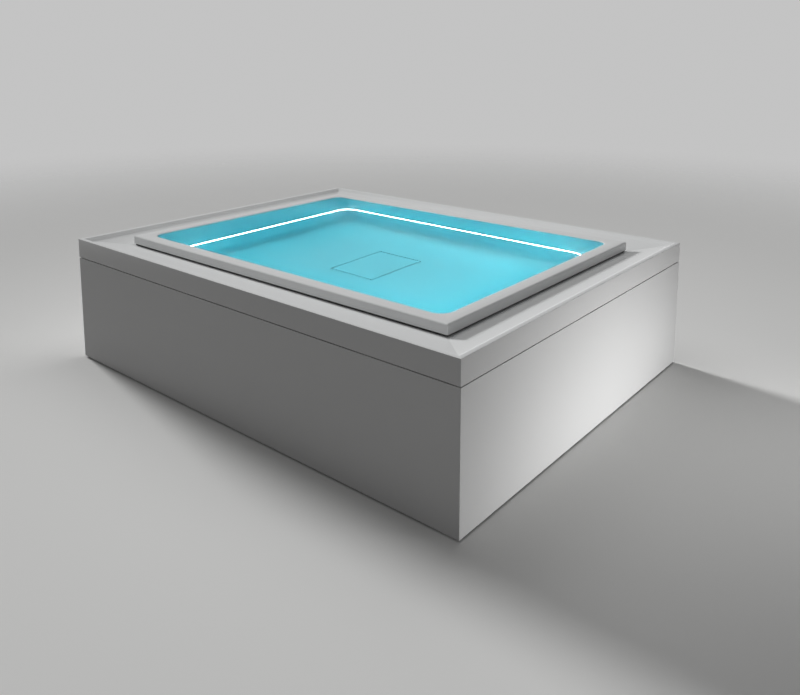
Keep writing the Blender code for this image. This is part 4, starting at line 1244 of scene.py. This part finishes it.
    def _glow(self) -> None:
        """The light that the strip gives the water: a long lamp before each wall, facing the middle."""
        reach = self._lamp_reach
        for side in Side:
            across, along = reach[1 - side.along], 2 * self.glow_share * reach[side.along]
            ends = np.array([(0.0, -across, self.light), (0.0, 0.0, self.light + self.glow_lift)])
            place, target = quarter_turns(ends, side.value)
            power = self.glow_power * along
            name = f"glow_{side.word}"
            SoftLamp(name, place, target, power, along, self.strip_height, self.glow_colour).hang()

    def _daylight(self) -> None:
        """The daylight that comes into the water: a wide lamp just under its surface, facing the floor."""
        wide, deep = 2 * self.window_share * self._lamp_reach
        SoftLamp(
            "window_in_water",
            place=(*self.window_shift, self.top - self.glow_gap),
            target=(*self.window_shift, self.floor),
            power=self.window_power,
            width=wide,
            height=deep,
            colour=self.window_colour,
            spread=self.window_spread,
        ).hang()


@dataclass
class FloorCover(Assembly):
    """The flush plate over the suction sump, on four corner legs."""

    edge: float = 0.0015
    thickness: float = 0.006
    corner: float = 0.002
    leg: float = 0.012

    def build(self) -> None:
        """Make the plate, whose top edge is a quarter round, and its legs."""
        low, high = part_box("floor_cover")
        joint = high.z - self.thickness
        angle = quarter_arc(5)
        inset = np.concatenate([[0.0], self.edge * (1.0 - np.cos(angle))])
        height = np.concatenate([[joint], high.z - self.edge * (1.0 - np.sin(angle))])
        plate = rounded_rings(high.x - inset, high.y - inset, self.corner, height, steps=4)
        half = self.leg / 2
        leg = rounded_rings(half, half, self.corner, [low.z, joint], steps=4)
        places = four_corners(ORIGIN, (high.x - half, high.y - half))
        draft = MeshDraft().grid(plate, cap=True).copies(leg, places)
        self.settle(draft, "suction_cover", Slot.ACRYLIC, "floor_cover", body="floor_cover")


@dataclass
class Steelwork(Assembly):
    """The frame's square tubes with rolled edges, and the two pans that carry the equipment."""

    wall: float = 0.003
    roll: float = 0.006
    edge: float = 0.0008
    tubes: tuple = (
        "base_rail_left", "base_rail_right",
        "top_rail_front", "top_rail_back", "top_rail_left", "top_rail_right",
        "corner_post_front_left", "corner_post_front_right",
        "corner_post_back_left", "corner_post_back_right",
        "cross_member_left", "cross_member_right", "floor_bearer_front", "floor_bearer_back",
    )
    pans: tuple = ("equipment_tray_left", "equipment_tray_right")

    def build(self) -> None:
        """Make every tube and both pans."""
        for node in self.tubes:
            self.settle(MeshDraft().grid(self._tube(node), wrap=True), f"tube_{node}", Slot.STEEL, node)
        for node in self.pans:
            self.settle(MeshDraft().grid(self._pan(node), cap=True), f"pan_{node}", Slot.STEEL, node)

    def _tube(self, node: str) -> Array:
        """Rings of a hollow tube: out along its outside, and back through it.

        Args:
            node: The solid whose place it takes; its longest side is the tube's axis.

        Returns:
            Rings of points.
        """
        half, place = span(node)
        axis = Axis(int(half.argmax()))
        across, over, end = np.roll(half, -axis.value - 1)
        inset = np.array([self.edge, 0.0, 0.0, self.edge, self.wall, self.wall])
        along = np.array([-end, self.edge - end, end - self.edge, end, end, -end])
        sizes = (across - inset, over - inset, self.roll - inset, along)
        return rounded_rings(*sizes, steps=4, origin=place, axis=axis)

    def _pan(self, node: str) -> Array:
        """Rings of a pan: up its outer side, over its edge, down inside to its floor.

        Args:
            node: The solid whose place it takes.

        Returns:
            Rings of points.
        """
        (half_x, half_y, top), place = span(node)
        inset = np.array([self.wall, 0.0, 0.0, self.wall, self.wall])
        height = np.array([-top, self.wall - top, top, top, self.wall - top])
        sizes = (half_x - inset, half_y - inset, self.roll - inset, height)
        return rounded_rings(*sizes, steps=4, origin=place)


@dataclass
class LevellingFeet(Assembly):
    """Six feet: a round pad, a hexagon nut and a threaded stem that goes up into the rail."""

    count: int = 6
    pad: float = 0.019
    nut: float = 0.014
    stem: float = 0.008
    stem_sides: int = 18
    step: float = 0.010
    thread: float = 0.0007
    pitch: float = 0.0025
    rows_per_turn: int = 6

    def build(self) -> None:
        """Make the feet."""
        step, top = self.step, 2 * self.step
        pad = [(0.0, 0.0), (self.pad, 0.0), (self.pad, step / 2), (self.nut, step), (0.0, step)]
        nut = [(0.0, step), (self.nut, step), (self.nut, top), (0.0, top)]
        for number in range(1, self.count + 1):
            node = f"levelling_foot_{number}"
            half, place = span(node)
            foot = (place[0], place[1], 0.0)
            draft = MeshDraft().turned(pad, foot).turned(nut, foot, soft=0.001, sides=6)
            draft.grid(self._stem(2 * half[2], foot))
            self.settle(draft, f"screw_foot_{number}", Slot.BLACK, node, body=node)

    def _stem(self, top: float, foot: tuple) -> Array:
        """The threaded stem: its radius swings by the thread's depth with sin(2 pi z / pitch - angle).

        Args:
            top: Height of the stem's end.
            foot: The stem's axis on the floor.

        Returns:
            Rings of points, closed on the axis at both ends.
        """
        rows = round((top - 2 * self.step) / self.pitch) * self.rows_per_turn
        z = np.linspace(2 * self.step - SEAT, top, rows)
        wave = np.sin(math.tau * z[:, None] / self.pitch - full_turn(self.stem_sides))
        swell = -self.thread * (0.5 + 0.5 * wave)
        profile = np.stack([np.full(rows, self.stem), z], axis=-1)
        rings = lathe(profile, foot, sides=self.stem_sides, swell=swell)
        ends = lathe([(0.0, z[0]), (0.0, top)], foot, sides=self.stem_sides)
        return np.concatenate([ends[:1], rings, ends[1:]])


@dataclass
class CirculationPump(Assembly):
    """The pump on an axis along Y: bolted volute with its neck, finned motor, terminal box and fan cowl."""

    radius: float = 0.085
    length: float = 0.070
    wall: float = 0.012
    chamber: float = 0.066
    eye: float = 0.025
    port: float = 0.022
    collar: float = 0.007
    bore: float = 0.0095
    neck: float = 0.027
    bolt_circle: float = 0.063
    bolts: int = 8
    motor: float = 0.062
    motor_length: float = 0.240
    fin: float = 0.008
    fins: int = 20
    points_per_fin: int = 12
    fin_steepness: float = 1.5
    shield: float = 0.016
    foot: tuple = (0.050, 0.102)
    foot_setback: float = 0.012
    terminal: tuple = (0.025, 0.060)
    terminal_rise: float = 0.030
    terminal_lid: float = 0.012
    terminal_lap: float = 0.002
    terminal_screw: float = 0.007
    cowl: float = 0.0706
    cowl_wall: float = 0.002
    cowl_length: float = 0.055
    cowl_lap: float = 0.012
    guard_rings: tuple = (0.013, 0.026, 0.039)
    guard_bar: float = 0.0025
    axis: Array = field(init=False)
    ground: float = field(init=False)

    def __post_init__(self) -> None:
        """Read the pump's axis and the height that its feet stand on."""
        low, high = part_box("pump_motor")
        self.axis = np.array([(low.x + high.x) / 2, high.y + SEAT, span("pump_rotor")[1][2]])
        self.ground = low.z

    def build(self) -> None:
        """Make volute, motor and cowl."""
        self.settle(self._volute(), "pump_casing", Slot.CASING, "pump_volute")
        self.settle(self._motor(), "motor_frame", Slot.CAST, "pump_motor")
        self.settle(self._cowl(), "fan_cowl", Slot.BLACK, "motor_fan_cover")

    def _volute(self) -> MeshDraft:
        """The turned volute with its suction eye, the neck on top, a foot and a ring of bolts.

        Returns:
            The draft.
        """
        x, y, z = self.axis
        far = self.length + self.port
        inner_end = self.length - self.wall
        eye = self.eye + self.collar
        draft = MeshDraft().turned([
            (self.bore, SEAT), (self.radius - self.collar, SEAT), (self.radius, self.wall),
            (self.radius, inner_end), (self.radius - self.wall, self.length), (eye, self.length),
            (eye, far), (self.eye, far), (self.eye, inner_end), (self.chamber, inner_end),
            (self.chamber, self.wall), (self.bore, self.wall),
        ], self.axis, Axis.Y, soft=0.002, sides=64, loop=True)
        middle = y + self.length / 2
        shoulder = z + self.chamber + self.collar
        draft.stub((x, middle, shoulder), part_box("pump_volute")[1].z - shoulder, self.neck)
        half = (self.radius / 2, inner_end / 2)
        draft.slab(half, self.ground, 2 * z - shoulder, (x, middle, 0.0))
        rim = [(self.bolt_circle, self.length)]
        return draft.bolts(lathe(rim, self.axis, Axis.Y, self.bolts)[0], Axis.Y)

    def _motor(self) -> MeshDraft:
        """The motor: between its end shields the radius rises by a clipped cosine for each fin.

        Returns:
            The draft.
        """
        x, y, z = self.axis
        far = -self.motor_length
        wide = self.motor + self.fin / 2
        slant = self.fin / 4
        profile = [
            (self.bore, far), (wide, far), (wide, far + self.shield), (self.motor, far + self.shield + slant),
            (self.motor, -self.shield - slant), (wide, -self.shield), (wide, -SEAT), (self.bore, -SEAT),
        ]
        sides = self.points_per_fin * self.fins
        wave = self.fin_steepness * np.cos(self.fins * full_turn(sides))
        ridge = self.fin * np.clip(0.5 + wave, 0.0, 1.0)
        finned = np.array([0, 0, 0, 1, 1, 0, 0, 0])[:, None]
        draft = MeshDraft().grid(lathe(profile, self.axis, Axis.Y, sides, finned * ridge), wrap=True)
        draft.slab(self.foot, self.ground, z - self.motor / 2, (x, y - self.foot_setback - self.foot[1], 0.0))
        place = np.array([x, y - self.motor_length / 2, z + self.motor])
        joint = self.terminal_rise - self.terminal_lid
        half = np.array(self.terminal) + self.terminal_lap
        draft.slab(self.terminal, -self.fin, joint, place).slab(half, joint, self.terminal_rise, place)
        screws = four_corners(place + (0.0, 0.0, self.terminal_rise), half - self.terminal_screw)
        return draft.bolts(screws, radius=0.0035, rise=0.002)

    def _cowl(self) -> MeshDraft:
        """The cowl over the fan: a drawn cup whose end is open but for rings and a cross.

        Returns:
            The draft.
        """
        end = -self.motor_length - self.cowl_length + self.cowl_lap
        inside, outside = self.cowl, self.cowl + self.cowl_wall
        floor, lap = end + self.cowl_wall, end + self.cowl_length
        mouth = inside - 2 * self.collar
        draft = MeshDraft().turned([
            (mouth, end), (outside - self.collar, end), (outside, end + self.collar), (outside, lap),
            (inside, lap), (inside, floor + self.collar), (inside - self.collar, floor), (mouth, floor),
        ], self.axis, Axis.Y, soft=0.0008, sides=64, loop=True)
        for ring in self.guard_rings:
            low, high = ring - self.guard_bar, ring + self.guard_bar
            section = [(low, end), (high, end), (high, floor), (low, floor)]
            draft.turned(section, self.axis, Axis.Y, soft=0.0005, loop=True)
        for half in ((mouth + SEAT, self.guard_bar), (self.guard_bar, mouth + SEAT)):
            draft.slab(half, end + SEAT, floor - SEAT, self.axis, Axis.Y, corner=0.001, soft=0.0004)
        return draft


@dataclass
class WaterTreatment(Assembly):
    """The filter canister with its screw lid, and the heater beside it."""

    radius: float = 0.085
    wall: float = 0.006
    bead: float = 0.003
    bead_shares: tuple = (0.80, 0.32)
    port: float = 0.027
    inlet_height: float = 0.3469
    outlet_height: float = 0.1433
    lid: float = 0.010
    dish: float = 0.068
    lug: float = 0.006
    lugs: int = 6
    points_per_lug: int = 16
    lug_steepness: float = 2.0
    heater: float = 0.045
    heater_inlet: float = 0.020
    collar: float = 0.007

    def build(self) -> None:
        """Make canister, lid and heater."""
        self.settle(self._canister(), "filter_canister", Slot.CASING, "filter_housing")
        self.settle(self._lid(), "filter_cap", Slot.BLACK, "filter_lid", body="filter_lid")
        self.settle(self._heater(), "heater_case", Slot.CAST, "heater_body")

    def _canister(self) -> MeshDraft:
        """The turned canister with two beads, open at the top, and its two ports.

        Returns:
            The draft.
        """
        low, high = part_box("filter_housing")
        x, y, _ = span("filter_cartridge")[1]
        inside, wide = self.radius - self.wall, self.radius + self.bead
        beads = []
        for share in self.bead_shares:
            z = low.z + share * (high.z - low.z)
            beads += [(self.radius, z + 2 * self.bead), (wide, z + self.bead)]
            beads += [(wide, z - self.bead), (self.radius, z - 2 * self.bead)]
        floor = low.z + self.wall
        profile = [(0.0, floor), (inside, floor), (inside, high.z), (self.radius, high.z), *beads,
                   (self.radius, floor), (inside, low.z), (0.0, low.z)]
        draft = MeshDraft().turned(profile, (x, y, 0.0), sides=64)
        start = self.radius - self.wall / 2
        draft.stub((x, y + start, self.inlet_height), high.y - y - start, self.port, Axis.Y)
        return draft.stub((x, y - start, self.outlet_height), low.y - y + start, self.port, Axis.Y)

    def _lid(self) -> MeshDraft:
        """The dished lid: its skirt's radius rises by a clipped cosine of the angle for each lug.

        Returns:
            The draft.
        """
        low, high = (corner.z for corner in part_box("filter_lid"))
        x, y, _ = span("filter_cartridge")[1]
        skirt = self.radius + SEAT
        rim, edge = skirt + self.wall, self.bead / 2
        under, dished = high - self.lid, high - self.lid / 2
        profile = [
            (0.0, under), (skirt, under), (skirt, low), (rim, low), (rim, under), (rim, high - edge),
            (rim - edge, high), (self.dish, high), (self.dish / 2, dished), (0.0, dished),
        ]
        sides = self.points_per_lug * self.lugs
        wave = self.lug_steepness * np.cos(self.lugs * full_turn(sides))
        ridge = self.lug * np.clip(0.5 + wave, 0.0, 1.0)
        lugged = np.array([0, 0, 0, 1, 1, 0, 0, 0, 0, 0])[:, None]
        return MeshDraft().grid(lathe(profile, (x, y, 0.0), sides=sides, swell=lugged * ridge))

    def _heater(self) -> MeshDraft:
        """The upright heater with a rolled foot and head, a terminal boss, its inlet and its outlet.

        Returns:
            The draft.
        """
        low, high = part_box("heater_body")
        x, y = high.x - self.heater, low.y + self.heater
        wide, lip, boss = self.heater, self.heater - self.bead, self.heater_inlet
        foot, head = low.z + self.collar, high.z - self.collar
        neck = head - 2 * self.collar
        draft = MeshDraft().turned([
            (0.0, low.z), (wide, low.z), (wide, foot), (lip, foot + self.bead), (lip, neck),
            (wide, neck + self.bead), (wide, head - self.bead), (lip, head), (boss, head), (boss, high.z),
            (0.0, high.z),
        ], (x, y, 0.0))
        start = self.heater - self.collar
        draft.stub((x, y + start, self.outlet_height), high.y - y - start, self.heater_inlet, Axis.Y)
        outlet = span("water_manifold")[1][2]
        return draft.stub((x - start, y, outlet), low.x - x + start, self.port, Axis.X)


@dataclass
class LeftBay(Assembly):
    """The air blower, and the control box with its cover and cable glands."""

    radius: float = 0.072
    groove: float = 0.007
    ribs: int = 4
    rib_edge: float = 0.0016
    outlet: float = 0.027
    outlet_rise: float = 0.022
    corner: float = 0.008
    cover_edge: float = 0.004
    screw_inset: float = 0.018
    gland: float = 0.009
    gland_length: float = 0.018
    gland_nut: float = 0.0025
    gland_rises: tuple = (0.07, 0.12, 0.17)

    def build(self) -> None:
        """Make blower, box and cover."""
        self.settle(self._blower(), "blower_case", Slot.CASING, "air_blower")
        self.settle(self._box(), "control_case", Slot.CASING, "control_box")
        self.settle(self._cover(), "control_cover", Slot.BLACK, "control_lid")

    def _blower(self) -> MeshDraft:
        """The turned blower: broad ribs, a domed head and the outlet.

        Returns:
            The draft.
        """
        half, (x, y, z) = span("air_blower")
        low, high = z - half[2], z + half[2] - self.outlet_rise
        wide, groove = self.radius, self.groove
        slim = wide - groove
        pitch = (high - low - 6 * groove) / self.ribs
        profile = [(0.0, low), (wide, low), (wide, low + groove), (slim, low + groove)]
        for rib in range(self.ribs):
            start = low + 2 * groove + rib * pitch
            end = start + pitch / 2
            profile += [(slim, start), (wide, start), (wide, end), (slim, end)]
        profile += [(slim, high - 3 * groove), (slim - groove, high - groove), (slim - 3 * groove, high)]
        draft = MeshDraft().turned([*profile, (0.0, high)], (x, y, 0.0), soft=self.rib_edge, sides=64)
        return draft.stub((x, y, high - groove), self.outlet_rise + groove, self.outlet)

    def _box(self) -> MeshDraft:
        """The control box with three cable glands on its end.

        Returns:
            The draft.
        """
        half, place = span("control_box")
        draft = MeshDraft().slab(half[1:], -half[0], half[0], place, Axis.X, self.corner)
        for rise in self.gland_rises:
            foot = (place[0], place[1] + half[1] - SEAT, place[2] - half[2] + rise)
            draft.stub(foot, self.gland_length, self.gland, Axis.Y, self.gland_nut)
        return draft

    def _cover(self) -> MeshDraft:
        """The cover on the box's outer side, screwed at its corners.

        Returns:
            The draft.
        """
        half, place = span("control_lid")
        draft = MeshDraft().slab(half[1:], -half[0], half[0], place, Axis.X, self.corner, self.cover_edge)
        screws = four_corners(place - (half[0], 0.0, 0.0), half[1:] - self.screw_inset, Axis.X)
        return draft.bolts(screws, Axis.X, radius=0.005, rise=-0.003)


@dataclass
class WaterStores(Assembly):
    """The balance tank under the back gutter, and the chambers behind the end walls."""

    corner: float = 0.025
    rib: float = 0.006
    rib_shares: tuple = (0.33, 0.66)
    top: float = 0.420
    inlet: float = 0.0235
    outlet: float = 0.032
    half_length: float = 0.460
    depth: float = 0.048
    edge: float = 0.007
    slope: float = math.radians(19.0)
    chamber_port: float = 0.020
    chamber_edge: float = 0.0025
    end_step: float = 0.002
    end_share: float = 0.94

    def build(self) -> None:
        """Make the tank and both chambers."""
        self.settle(self._tank(), "tank_body", Slot.PIPE, "balance_tank")
        for word, turns in (("water", 0), ("air", 2)):
            self.settle(self._chamber(turns), f"{word}_chamber", Slot.PIPE, f"{word}_manifold")

    def _tank(self) -> MeshDraft:
        """The tank: rounded rings that step in at each rib groove, an inlet on top and an outlet at the end.

        Returns:
            The draft.
        """
        low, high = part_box("balance_tank")
        half_x, half_y, y = -low.x, (high.y - low.y) / 2, (high.y + low.y) / 2
        rib = self.rib
        profile = [(rib, low.z), (0.0, low.z + rib)]
        for share in self.rib_shares:
            z = low.z + share * (self.top - low.z)
            profile += [(0.0, z - 2 * rib), (rib, z - rib), (rib, z + rib), (0.0, z + 2 * rib)]
        profile += [(0.0, self.top - rib), (rib, self.top)]
        inset, z = soften(profile, rib / 3, steps=3).T
        sizes = (half_x - inset, half_y - inset, self.corner - inset, z)
        draft = MeshDraft().grid(rounded_rings(*sizes, steps=8, origin=(0.0, y, 0.0)), cap=True)
        inlet = span("overflow_pipe")[1]
        draft.stub((inlet[0], inlet[1], self.top - self.edge), high.z - self.top + self.edge, self.inlet)
        start = half_x - 2 * rib
        return draft.stub((start, y, span("pump_rotor")[1][2]), high.x - start, self.outlet, Axis.X)

    def _chamber(self, turns: int) -> MeshDraft:
        """A chamber: one section carried along Y, its inner side as steep as the basin's end wall.

        Args:
            turns: Quarter turns that bring the right end's chamber to its place.

        Returns:
            The draft.
        """
        low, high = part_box("water_manifold")
        lean = low.x + (high.z - low.z) * math.tan(self.slope)
        far, edge = high.x, self.edge
        section = soften([
            (low.x, low.z), (lean, high.z), (lean + edge, high.z), (far, high.z - edge),
            (far, low.z + edge), (far - edge, low.z),
        ], self.chamber_edge, steps=3, closed=True)
        centre = section.mean(axis=0)
        shrink = np.array([self.end_share, 1.0, 1.0, self.end_share])[:, None]
        shoulder = self.half_length - self.end_step
        y = np.array([-self.half_length, -shoulder, shoulder, self.half_length])[:, None]
        x, z = (middle + shrink * (line - middle) for line, middle in zip(section.T, centre))
        rings = np.stack(np.broadcast_arrays(x, y, z), axis=-1)
        draft = MeshDraft().grid(quarter_turns(rings, turns), cap=True)
        sign = 1 - turns
        start = edge - self.half_length
        port = (sign * (far - self.depth / 2 + edge / 2), sign * start, centre[1])
        return draft.stub(port, sign * (low.y - start), self.chamber_port, Axis.Y, 0.0)


@dataclass
class Pipework(Assembly):
    """Every run of pipe with a coupling at each end, the suction tee, and the drain line with its valve."""

    wide: float = 0.025
    narrow: float = 0.020
    fall: float = 0.0165
    bend: float = 0.040
    sides: int = 36
    sleeve: float = 0.003
    sleeve_length: float = 0.012
    sleeve_places: tuple = (0.05, 0.15, 0.9, 1.0)
    sleeve_swell: tuple = (0.6, 1.0, 1.0, 0.6)
    run_offset: float = 0.040
    tee_flange: float = 0.007
    tee_socket: float = 0.022
    valve: float = 0.034
    valve_x: float = -0.900
    valve_half: float = 0.035
    boss: float = 0.008

    def build(self) -> None:
        """Make the runs, the tee and the drain line."""
        for node, radius, reference, corners in self._routes():
            draft = self._run(np.array(corners), radius, reference)
            self.settle(draft, node.replace("pipe", "run"), Slot.PIPE, node)
        self.settle(self._tee(), "suction_branch", Slot.PIPE, "suction_tee")
        self.settle(self._drain(), "drain_run", Slot.PIPE, "drain_line")

    def _routes(self) -> list:
        """Where each run goes.

        Returns:
            Node, radius, reference direction and corner points of each run.
        """
        bay, _, pump = span("pump_rotor")[1]
        tee, tank = span("suction_tee")[1][1], span("balance_tank")[1][1]
        blower = span("air_blower")[1][1]
        light = span("water_manifold")[1][2]
        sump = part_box("drain_line")[0].z + self.valve
        cross = span("cross_member_right")[1][0] + self.run_offset
        words = ("suction", "return", "pressure", "delivery", "air", "overflow")
        low, high = ({word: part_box(f"{word}_pipe")[end] for word in words} for end in (0, 1))
        port = low["delivery"].x + self.narrow
        rise = high["pressure"].y - self.narrow
        intake = WaterTreatment.inlet_height
        gutter_x, gutter_y, _ = span("overflow_pipe")[1]
        # Reference directions, each for runs that never follow it.
        upright, level, slant = (1.0, 0.0, 0.0), (0.0, 0.0, 1.0), (1.0, 1.0, 1.0)
        return [
            ("suction_pipe", self.wide, level, [
                (high["suction"].x, tee, pump), (cross, tee, pump), (cross, 0.0, sump),
                (low["suction"].x, 0.0, sump)]),
            ("return_pipe", self.wide, level, [
                (low["return"].x, tank, pump), (bay, tank, pump), (bay, low["return"].y, pump)]),
            ("pressure_pipe", self.narrow, upright, [
                (bay, rise, low["pressure"].z), (bay, rise, intake), (bay, low["pressure"].y, intake)]),
            ("delivery_pipe", self.narrow, level, [
                (high["delivery"].x, -blower, light), (port, -blower, light),
                (port, high["delivery"].y, light)]),
            ("air_pipe", self.narrow, slant, [
                (-bay, blower, low["air"].z), (-bay, blower, light), (-port, blower, light),
                (-port, low["air"].y, light)]),
            ("overflow_pipe", self.fall, upright, [
                (gutter_x, gutter_y, high["overflow"].z), (gutter_x, gutter_y, low["overflow"].z)]),
        ]

    def _run(self, corners: Array, radius: float, reference: tuple) -> MeshDraft:
        """A circle carried along the bent route, with a sleeve over each end.

        Args:
            corners: Corner points of the route.
            radius: The pipe's radius.
            reference: A direction that the route never follows.

        Returns:
            The draft.
        """
        path = soften(corners, self.bend, steps=10)
        draft = MeshDraft().grid(sweep(path, radius, reference, self.sides), cap=True)
        swollen = radius + self.sleeve * np.array(self.sleeve_swell)
        for end, inner in ((path[0], path[1]), (path[-1], path[-2])):
            step = (inner - end) * self.sleeve_length / np.linalg.norm(inner - end)
            stretch = end + np.outer(self.sleeve_places, step)
            draft.grid(sweep(stretch, swollen, reference, self.sides), cap=True)
        return draft

    def _tee(self) -> MeshDraft:
        """The tee: a turned body along Y with a socket at each end, and its branch.

        Returns:
            The draft.
        """
        low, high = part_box("suction_tee")
        bay, _, pump = span("pump_rotor")[1]
        half = (high.y - low.y) / 2
        socket, neck = self.wide + self.tee_flange, half - self.tee_socket
        place = (bay, (high.y + low.y) / 2, pump)
        draft = MeshDraft().turned([
            (0.0, -half), (socket, -half), (socket, -neck), (self.wide, -neck), (self.wide, neck),
            (socket, neck), (socket, half), (0.0, half),
        ], place, Axis.Y)
        return draft.stub(place, low.x - bay, self.wide, Axis.X)

    def _drain(self) -> MeshDraft:
        """The drain line: a pipe along X through the ball valve to a capped end, with its boss and nuts.

        Returns:
            The draft.
        """
        low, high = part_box("drain_line")
        z = low.z + self.valve
        half, reach, grip = self.valve_half, self.narrow, self.narrow + self.tee_flange
        middle, socket = self.valve_x, low.x + self.tee_socket
        draft = MeshDraft().turned([
            (0.0, low.x), (grip, low.x), (grip, socket), (reach, socket), (reach, middle - half),
            (self.valve, middle - half / 2), (self.valve, middle + half / 2), (reach, middle + half),
            (reach, high.x), (0.0, high.x),
        ], (0.0, 0.0, z), Axis.X)
        for start in (middle - half - self.boss, middle + half - self.boss):
            end = start + 2 * self.boss
            nut = [(0.0, start), (grip, start), (grip, end), (0.0, end)]
            draft.turned(nut, (0.0, 0.0, z), Axis.X, sides=8)
        boss = [(0.0, z), (self.boss, z), (self.boss, high.z), (0.0, high.z)]
        return draft.turned(boss, (middle, 0.0, 0.0), sides=24)


@dataclass
class Studio:
    """Pale floor, soft light and the camera at the photograph's viewpoint."""

    floor_size: float = 60.0
    floor_seen: tuple = (0.82, 0.82, 0.81)
    floor_bounce: tuple = (0.30, 0.30, 0.30)
    floor_roughness: float = 0.75
    fade_start: float = 3.0
    fade_end: float = 9.0
    sky_light: float = 0.16
    sky_seen: float = 0.55
    sky_overhead: float = 0.05
    backdrop_edge: tuple = (0.13, 0.19)
    sun_towards: tuple = (-0.90, 0.10, 0.36)
    sun_strength: float = 2.9
    sun_angle: float = math.radians(10.0)
    softboxes: tuple = (
        SoftLamp(
            "top_softbox", place=(-0.3, 0.2, 3.0), target=(0.0, 0.0, 0.6), power=22.0, width=2.4, height=2.0),
        SoftLamp(
            "right_softbox", place=(3.35, 0.8, 0.14), target=(1.15, 0.02, 0.07), power=5.6, width=1.4,
            height=0.2, spread=math.radians(52.0)),
    )
    eye: tuple = (2.4337, -2.7388, 1.5424)
    azimuth: float = math.radians(39.816)
    pitch: float = math.radians(8.043)
    focal_pixels: float = 771.46
    shift: float = -0.24

    def build(self) -> None:
        """Make floor, sky, lamps and camera, and set how colours are shown."""
        bpy.context.scene.view_settings.view_transform = "Standard"
        self._floor()
        self._sky()
        self._sun()
        for lamp in self.softboxes:
            lamp.hang()
        self._camera()

    def _floor(self) -> None:
        """A wide pale floor that takes the pool's shadow and fades into the sky far out."""
        coat, tools, shader = new_material("studio_floor")
        tone = tools.mix(self._seen_ray(tools), (*self.floor_bounce, 1.0), (*self.floor_seen, 1.0))
        place = tools.add("ShaderNodeTexCoord").outputs["Object"]
        distance = tools.add("ShaderNodeVectorMath", place, operation="LENGTH").outputs["Value"]
        fade = tools.add("ShaderNodeMapRange", distance, interpolation_type="SMOOTHSTEP")
        tools.fill(fade, From_Min=self.fade_start, From_Max=self.fade_end, To_Min=1.0, To_Max=0.0)
        tools.fill(shader, Base_Color=tone, Roughness=self.floor_roughness, Alpha=fade.outputs["Result"])
        half = self.floor_size / 2
        corners = [(-half, -half, 0.0), (half, -half, 0.0), (half, half, 0.0), (-half, half, 0.0)]
        mesh = bpy.data.meshes.new("studio_floor")
        mesh.from_pydata(corners, [], [(0, 1, 2, 3)])
        mesh.materials.append(coat)
        floor = bpy.data.objects.new("studio_floor", mesh)
        bpy.context.collection.objects.link(floor)

    def _sun(self) -> None:
        """A broad far light from the left, as from a window."""
        lamp = bpy.data.lights.new("left_window", "SUN")
        lamp.energy = self.sun_strength
        lamp.angle = self.sun_angle
        made = bpy.data.objects.new("left_window", lamp)
        made.rotation_mode = "QUATERNION"
        made.rotation_quaternion = Vector(self.sun_towards).to_track_quat("Z", "Y")
        made.visible_glossy = False
        bpy.context.collection.objects.link(made)

    def _sky(self) -> None:
        """A pale backdrop under a dark ceiling, paler to the camera, gloss and glass than as a light."""
        world = bpy.data.worlds.new("studio_sky")
        world.use_nodes = True
        tools = NodeTools(world.node_tree)
        place = tools.add("ShaderNodeTexCoord").outputs["Generated"]
        height = tools.add("ShaderNodeSeparateXYZ", place).outputs["Z"]
        rise = tools.add("ShaderNodeMapRange", height, *self.backdrop_edge, interpolation_type="SMOOTHSTEP")
        tools.fill(rise, To_Min=self.sky_seen, To_Max=self.sky_overhead)
        level = tools.add("ShaderNodeMapRange", self._seen_ray(tools), To_Min=self.sky_light)
        tools.fill(level, To_Max=rise.outputs["Result"])
        glow = world.node_tree.nodes["Background"]
        tools.fill(glow, Color=(1.0, 1.0, 1.0, 1.0), Strength=level.outputs["Result"])
        bpy.context.scene.world = world

    @staticmethod
    def _seen_ray(tools: NodeTools) -> bpy.types.NodeSocket:
        """A mask that is 1 for what the camera sees, also by way of gloss and glass.

        Args:
            tools: Tools of the tree that needs the mask.

        Returns:
            The mask.
        """
        path = tools.add("ShaderNodeLightPath").outputs
        direct = tools.math("MAXIMUM", path["Is Camera Ray"], path["Is Glossy Ray"])
        return tools.math("MAXIMUM", direct, path["Is Transmission Ray"])

    def _camera(self) -> None:
        """The camera that the corner fit gave."""
        lens = bpy.data.cameras.new("viewpoint")
        lens.sensor_width = SENSOR_WIDTH
        lens.lens = self.focal_pixels / IMAGE_WIDTH * SENSOR_WIDTH
        lens.shift_y = self.shift
        lens.clip_end = 2 * self.floor_size
        camera = bpy.data.objects.new("viewpoint", lens)
        level = math.cos(self.pitch)
        back = (math.sin(self.azimuth) * level, -math.cos(self.azimuth) * level, math.sin(self.pitch))
        camera.location = self.eye
        camera.rotation_mode = "QUATERNION"
        camera.rotation_quaternion = (-Vector(back)).to_track_quat("-Z", "Y")
        bpy.context.collection.objects.link(camera)
        bpy.context.scene.camera = camera


OUTSIDE = (CladdingPanels, Surround, OverflowGrilles, Basin, FloorCover)
INSIDE = (Steelwork, LevellingFeet, CirculationPump, WaterTreatment, LeftBay, WaterStores, Pipework)


def main() -> None:
    """Dress the frame piece by piece."""
    logging.basicConfig(level=logging.INFO, format="%(name)s: %(message)s")
    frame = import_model()
    book = FinishBook()
    book.dress_solids(frame)
    for assembly in OUTSIDE + INSIDE:
        assembly(book).build()
    Studio().build()


if __name__ == "__main__":
    main()
